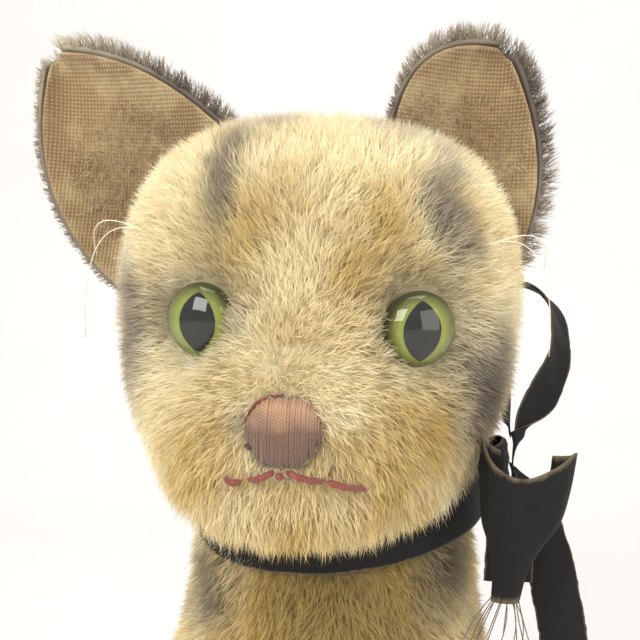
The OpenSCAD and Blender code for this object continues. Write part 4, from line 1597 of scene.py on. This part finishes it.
@dataclass(frozen=True)
class Strip:
    """A length of ribbon through given stations.

    Each station is a point, a vector across the ribbon, and how far its middle bows
    out, all from the knot and in millimetres."""

    name: str
    stations: tuple[tuple[tuple[float, float, float], tuple[float, float, float], float], ...]
    nodes: tuple[str, ...]
    rests_on: tuple[str, ...] = ("ribbon_knot",)
    held: str = "folded"
    seed: int = 1
    per_span: int = 12
    across: int = 16
    wide: float = 10.0
    run: float = 0.0

    def curve(self, values: Array) -> Array:
        """Smooth values through the stations.

        Args:
            values: One row to a station.

        Returns:
            Finer rows.
        """
        padded = np.concatenate([2 * values[:1] - values[1:2], values, 2 * values[-1:] - values[-2:-1]])
        out = []
        for i in range(1, len(padded) - 2):
            a, b, c, d = padded[i - 1 : i + 3]
            for t in np.arange(self.per_span) / self.per_span:
                bend = (2 * a - 5 * b + 4 * c - d) * t**2 + (3 * b - a - 3 * c + d) * t**3
                out.append(0.5 * (2 * b + (c - a) * t + bend))
        out.append(padded[-2])
        return np.array(out)

    def build(self, origin: Array) -> bpy.types.Object:
        """Makes the ribbon.

        Args:
            origin: The knot's middle, in millimetres.

        Returns:
            The piece.
        """
        line = self.curve(np.array([s[0] for s in self.stations], float)) + origin
        wide = self.curve(np.array([s[1] for s in self.stations], float))
        bow = self.curve(np.array([[s[2]] for s in self.stations], float))
        out = unit(np.cross(np.gradient(line, axis=0), wide))
        travel = np.concatenate([[0], np.cumsum(np.linalg.norm(np.diff(line, axis=0), axis=1))])
        dice = np.random.default_rng(self.seed)
        u = np.linspace(-1, 1, self.across)
        rows = []
        for k in range(len(line)):
            ripple = 0.12 * np.sin(u * 4 + travel[k] * 0.5) + dice.normal(size=len(u)) * 0.012
            edge = np.where(np.abs(u) > 0.99, dice.uniform(-0.12, 0.12), 0)
            rows.append(
                line[k]
                + wide[k] * ((u + edge * 0.2) / 2)[:, None]
                + out[k] * (bow[k] * (1 - u**2) + ripple)[:, None]
            )
        return self.finish(np.array(rows), travel)

    def finish(self, grid: Array, travel: Array) -> bpy.types.Object:
        """Turns the ribbon's grid into a piece with cloth coordinates.

        Args:
            grid: Points by row along and column across.
            travel: Distance along at each row.

        Returns:
            The piece.
        """
        rows, columns = grid.shape[:2]
        mesh = Soup(grid.reshape(-1, 3), [grid_faces(rows, columns, closed=False)]).mesh(self.name)
        place = np.stack(
            [np.tile(np.linspace(-5, 5, columns), rows), np.repeat(travel, columns)], axis=1
        ).astype(np.float32)
        corner = np.empty(len(mesh.loops), np.int32)
        mesh.loops.foreach_get("vertex_index", corner)
        mesh.uv_layers.new(name="cloth_mm").data.foreach_set("uv", place[corner].ravel())
        mesh = through_modifiers(mesh, ("SOLIDIFY", {"thickness": 0.3 * MM, "offset": 0.0}))
        mesh.name = self.name
        piece = show(self.name, mesh, Body.HEAD, (RIBBON,), self.nodes)
        return piece


REAR_LOOP = Strip(
    "ribbon_rear_fold",
    (
        ((3.8, 4, 3), (0, 4, 6), 0.5),
        ((10, 14, 10), (8, 6, -1), 0.8),
        ((16, 24, 21), (6, 8, -2), 0.8),
        ((15, 31, 31), (4, 9, -2), 0.6),
        ((8, 35, 35), (1, 9.6, -1), 0.6),
        ((3, 33, 27), (2, 9.6, 0), 0.6),
        ((3.5, 22, 15), (4, 8.6, -2), 0.6),
        ((3.4, 9, 6), (2, 4, -4), 0.4),
    ),
    ("ribbon_rear_loop",),
    seed=3,
)
LONG_TAIL = Strip(
    "ribbon_long_end",
    (
        ((3.8, 4, -3), (0, 3, 6), 0.5),
        ((9, 5.5, -9), (7, 2, 3), 0.5),
        ((12.5, 6, -19), (9.6, 2, 1), 0.8),
        ((15.5, 6, -31), (9.8, 2, 1), 0.7),
        ((18, 6, -44), (10, 2, 1), 0.6),
        ((19.5, 6, -56), (10, 2, 2), 0.4),
    ),
    ("ribbon_long_tail",),
    held="hung",
    seed=4,
)
SHORT_TAIL = Strip(
    "ribbon_short_end",
    (
        ((3.4, 0.5, -4), (2, 3, 6), 0.5),
        ((4, 1, -12), (9, 0.8, 0), 0.6),
        ((4, 1, -23), (9.6, 0.8, 0), 0.5),
    ),
    ("ribbon_short_tail",),
    held="hung",
    seed=5,
)
TRUMPET_LEVELS = (
    (5.5, -7.5, 3.6, 9.1, 4),
    (5.2, -7.5, -3, 8.6, 3.8),
    (4.8, -7.5, -8.5, 7.6, 3.5),
    (4, -7.4, -13, 5.4, 2.9),
    (3.2, -7.2, -18, 3.5, 2.1),
    (2.5, -7, -24.4, 2.8, 1.5),
)


@dataclass
class Bow:
    """The neck ribbon: its band, knot, folds and ends."""

    def build(self) -> None:
        """Makes the ribbon's pieces."""
        knot = sum(box_mm("ribbon_knot")) / 2
        self.band()
        self.knot(knot)
        self.trumpet(knot)
        for strip in (REAR_LOOP, LONG_TAIL, SHORT_TAIL):
            strip.build(knot)
        self.fray(knot)

    @staticmethod
    def band() -> None:
        """Makes the band round the neck, creased where it is pulled towards the knot."""
        rows, columns = 181, 14
        dice = np.random.default_rng(6)
        turn = np.linspace(0, math.tau, rows)
        v = np.linspace(0, 1, columns)
        grid = np.empty((rows, columns, 3))
        waves = dice.uniform(0, math.tau, 4)
        for i, t in enumerate(turn):
            crease = 0.22 * math.sin(3 * t + waves[0]) + 0.16 * math.sin(7 * t + waves[1])
            r = 29.9 + 1.2 * (1 - v) + 0.35 * np.sin(v * math.pi) + crease * (v - 0.3)
            z = -10.2 + 9.8 * v + 0.25 * math.sin(2 * t + waves[2])
            grid[i] = np.stack([r * math.cos(t), r * math.sin(t), z], 1)
        grid[-1] = grid[0]
        lean = np.array(Matrix.Rotation(-BAND_LEAN, 3, "Y"))
        points = grid.reshape(-1, 3) @ lean.T @ neck_matrix().T + NECK_AT
        travel = turn * 30.5
        Strip("ribbon_neck_band", (), ("ribbon_band",), ("head_gusset",), "gathered").finish(
            points.reshape(rows, columns, 3), travel
        )

    @staticmethod
    def knot(centre: Array) -> None:
        """Makes the knot: a short turn of ribbon, pleated and rounded.

        Args:
            centre: Its middle.
        """
        rows, columns = 60, 16
        turn = np.linspace(0, math.tau, rows)
        u = np.linspace(-1, 1, columns)
        grid = np.empty((rows, columns, 3))
        for i, t in enumerate(turn):
            pinch = 1.12 - 0.5 * u**6 + 0.06 * np.sin(u * 9)
            grid[i] = np.stack(
                [2.1 * math.cos(t) * pinch, 3.7 * math.sin(t) * pinch, 5.2 * u + 0.5 * math.sin(t)], 1
            )
        grid[-1] = grid[0]
        travel = turn * 3.4
        place = np.array(Matrix.Rotation(KNOT_TURN, 3, "Z")) @ neck_matrix()
        Strip("ribbon_tied_knot", (), ("ribbon_knot",), ("ribbon_band",), "gathered").finish(
            grid @ place.T + centre, travel
        )

    @staticmethod
    def trumpet(knot: Array) -> None:
        """Makes the front fold: a flattened trumpet, wide and open at its top.

        Args:
            knot: The knot's middle.
        """
        levels = Strip("levels", (), ()).curve(np.array(TRUMPET_LEVELS, float))[::-1]
        turn = np.radians(np.linspace(-235, 55, 90))
        degrees = np.degrees(turn)
        rim = 3.5 * np.exp(-(((degrees + 190) / 35) ** 2)) - 3.5 * np.exp(-(((degrees + 100) / 40) ** 2))
        rim += 1.5 * np.exp(-(((degrees + 10) / 35) ** 2))
        x, y, z, wide, deep = (levels[:, i][None] for i in range(5))
        pleat = 1 + 0.03 * np.sin(5 * turn[:, None] + 0.08 * z) * smoothstep(-24, -8, z)
        grid = np.stack(
            [
                x + (wide - 0.25) * pleat * np.cos(turn)[:, None],
                y + (deep - 0.25) * pleat * np.sin(turn)[:, None],
                z + rim[:, None] * np.maximum(0, (z + 10) / 14),
            ],
            axis=-1,
        )
        travel = np.concatenate([[0], np.cumsum(np.linalg.norm(np.diff(grid.mean(1), axis=0), axis=1))])
        fold = Strip("ribbon_front_fold", (), ("ribbon_front_loop",), wide=28.0, run=24.0)
        fold.finish(grid + knot, travel)

    @staticmethod
    def fray(knot: Array) -> None:
        """Makes the loose threads below the front fold.

        Args:
            knot: The knot's middle.
        """
        dice = np.random.default_rng(7)
        soups = []
        t = np.linspace(0, 1, 14)[:, None]
        for i in range(13):
            start = np.array([0.2 + 0.4 * i, -6.8 + 0.3 * dice.normal(), -23.5])
            end_x = -5 + 1.1 * i + dice.normal() * 0.6
            end = np.array([end_x, -6.5 + dice.normal(), -31 - dice.uniform(0, 5)])
            mid = (start + end) / 2 + np.array([dice.normal() * 1.5, -1.5, 1.5])
            soups.append(tube(arc(t, start, mid, end) + knot, np.full(14, 0.11), 5))
        show_on_head("ribbon_frayed_threads", soups, "frayed_thread", FRAY, "ribbon_fray")


# ---- Carried-over pieces --------------------------------------------------------------

CARRIED: dict[str, Finish] = {
    "filling": WOOD_WOOL,
    "disc": CARD,
    "washer": STEEL,
    "pin": STEEL,
    "wire": STEEL,
    "gather": BACKING,
    "claws": CLAW_THREAD,
}


def dress_carried() -> None:
    """Gives each CAD node that is still shown its own finish."""
    for name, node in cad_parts.items():
        finish = next((f for key, f in CARRIED.items() if key in name), None)
        if finish is None:
            continue
        for place in node.material_slots:
            place.material = finish.material()
        log.info("%s keeps its CAD shape as %s", name, finish.name)


# ---- Room -----------------------------------------------------------------------------


@dataclass(frozen=True)
class Lamp:
    """A soft rectangular lamp that faces the cat."""

    name: str
    at: tuple[float, float, float]
    size: float
    power: float
    colour: str

    def build(self, target: Vector) -> None:
        """Hangs the lamp.

        Args:
            target: What it faces.
        """
        data = bpy.data.lights.new(self.name, "AREA")
        data.shape = "SQUARE"
        data.size = self.size
        data.energy = self.power
        data.color = linear(self.colour)[:3]
        lamp = bpy.data.objects.new(self.name, data)
        lamp.location = self.at
        lamp.rotation_euler = (target - lamp.location).to_track_quat("-Z", "Y").to_euler()
        bpy.context.scene.collection.objects.link(lamp)


@dataclass
class Room:
    """The pale floor and backdrop, the lamps and the camera."""

    target: tuple[float, float, float] = (-0.0035, -0.038, 0.1595)
    azimuth: float = 3.0
    elevation: float = 4.0
    roll: float = 2.15
    distance: float = 0.1963
    view_angle: float = 34.53

    def build(self) -> None:
        """Makes the room."""
        self.floor()
        aim = Vector((0.0, -0.02, 0.13))
        for lamp in (
            Lamp("key_window", (-0.45, -0.75, 0.62), 0.55, 9.0, "#fffcf8"),
            Lamp("fill_sheet", (0.7, -0.6, 0.35), 0.7, 4.5, "#fffbf6"),
            Lamp("top_sheet", (0.0, 0.15, 0.9), 0.6, 4.0, "#ffffff"),
        ):
            lamp.build(aim)
        world = bpy.data.worlds.new("pale_room")
        bpy.context.scene.world = world
        world.use_nodes = True
        wire(world.node_tree.nodes["Background"], {"Color": "#f2f0ef", "Strength": 0.75})
        bpy.context.scene.view_settings.view_transform = "Standard"
        self.camera()

    @staticmethod
    def floor() -> None:
        """Sweeps a pale sheet from the table up behind the cat."""
        profile = [(-1.2, 0.0), (0.35, 0.0)]
        profile += [
            (0.35 + 0.35 * math.sin(a), 0.35 - 0.35 * math.cos(a)) for a in np.linspace(0.1, math.pi / 2, 16)
        ]
        profile.append((0.7, 1.6))
        points = np.array([(x, y, z) for x in (-1.6, 1.6) for y, z in profile]) / MM
        n = len(profile)
        quads = np.array([(i, n + i, n + i + 1, i + 1) for i in range(n - 1)])
        mesh = Soup(points, [quads]).mesh("pale_sweep")
        sheet = Mottled("matt_paper_sweep", "#dcdad9", "#d8d6d4", 60.0, 0.95, 0.0, 0.0)
        mesh.materials.append(sheet.material())
        floor = bpy.data.objects.new("pale_sweep", mesh)
        bpy.context.scene.collection.objects.link(floor)

    def camera(self) -> None:
        """Sets up the camera where the photographer stood."""
        data = bpy.data.cameras.new("camera")
        data.angle = math.radians(self.view_angle)
        data.clip_start = 0.01
        camera = bpy.data.objects.new("camera", data)
        az, el = math.radians(self.azimuth), math.radians(self.elevation)
        forward = Vector((-math.sin(az) * math.cos(el), math.cos(az) * math.cos(el), -math.sin(el)))
        right = Vector((math.cos(az), math.sin(az), 0.0))
        up = right.cross(forward)
        roll = math.radians(self.roll)
        right, up = (
            right * math.cos(roll) + up * math.sin(roll),
            up * math.cos(roll) - right * math.sin(roll),
        )
        turn = Matrix((right, up, -forward)).transposed().to_4x4()
        camera.matrix_world = Matrix.Translation(Vector(self.target) - forward * self.distance) @ turn
        bpy.context.scene.collection.objects.link(camera)
        bpy.context.scene.camera = camera


def main() -> None:
    """Builds the scene and notes its size."""
    Room().build()
    Head().build()
    Torso().build()
    Face().build()
    Bow().build()
    dress_carried()


if __name__ == "__main__":
    main()
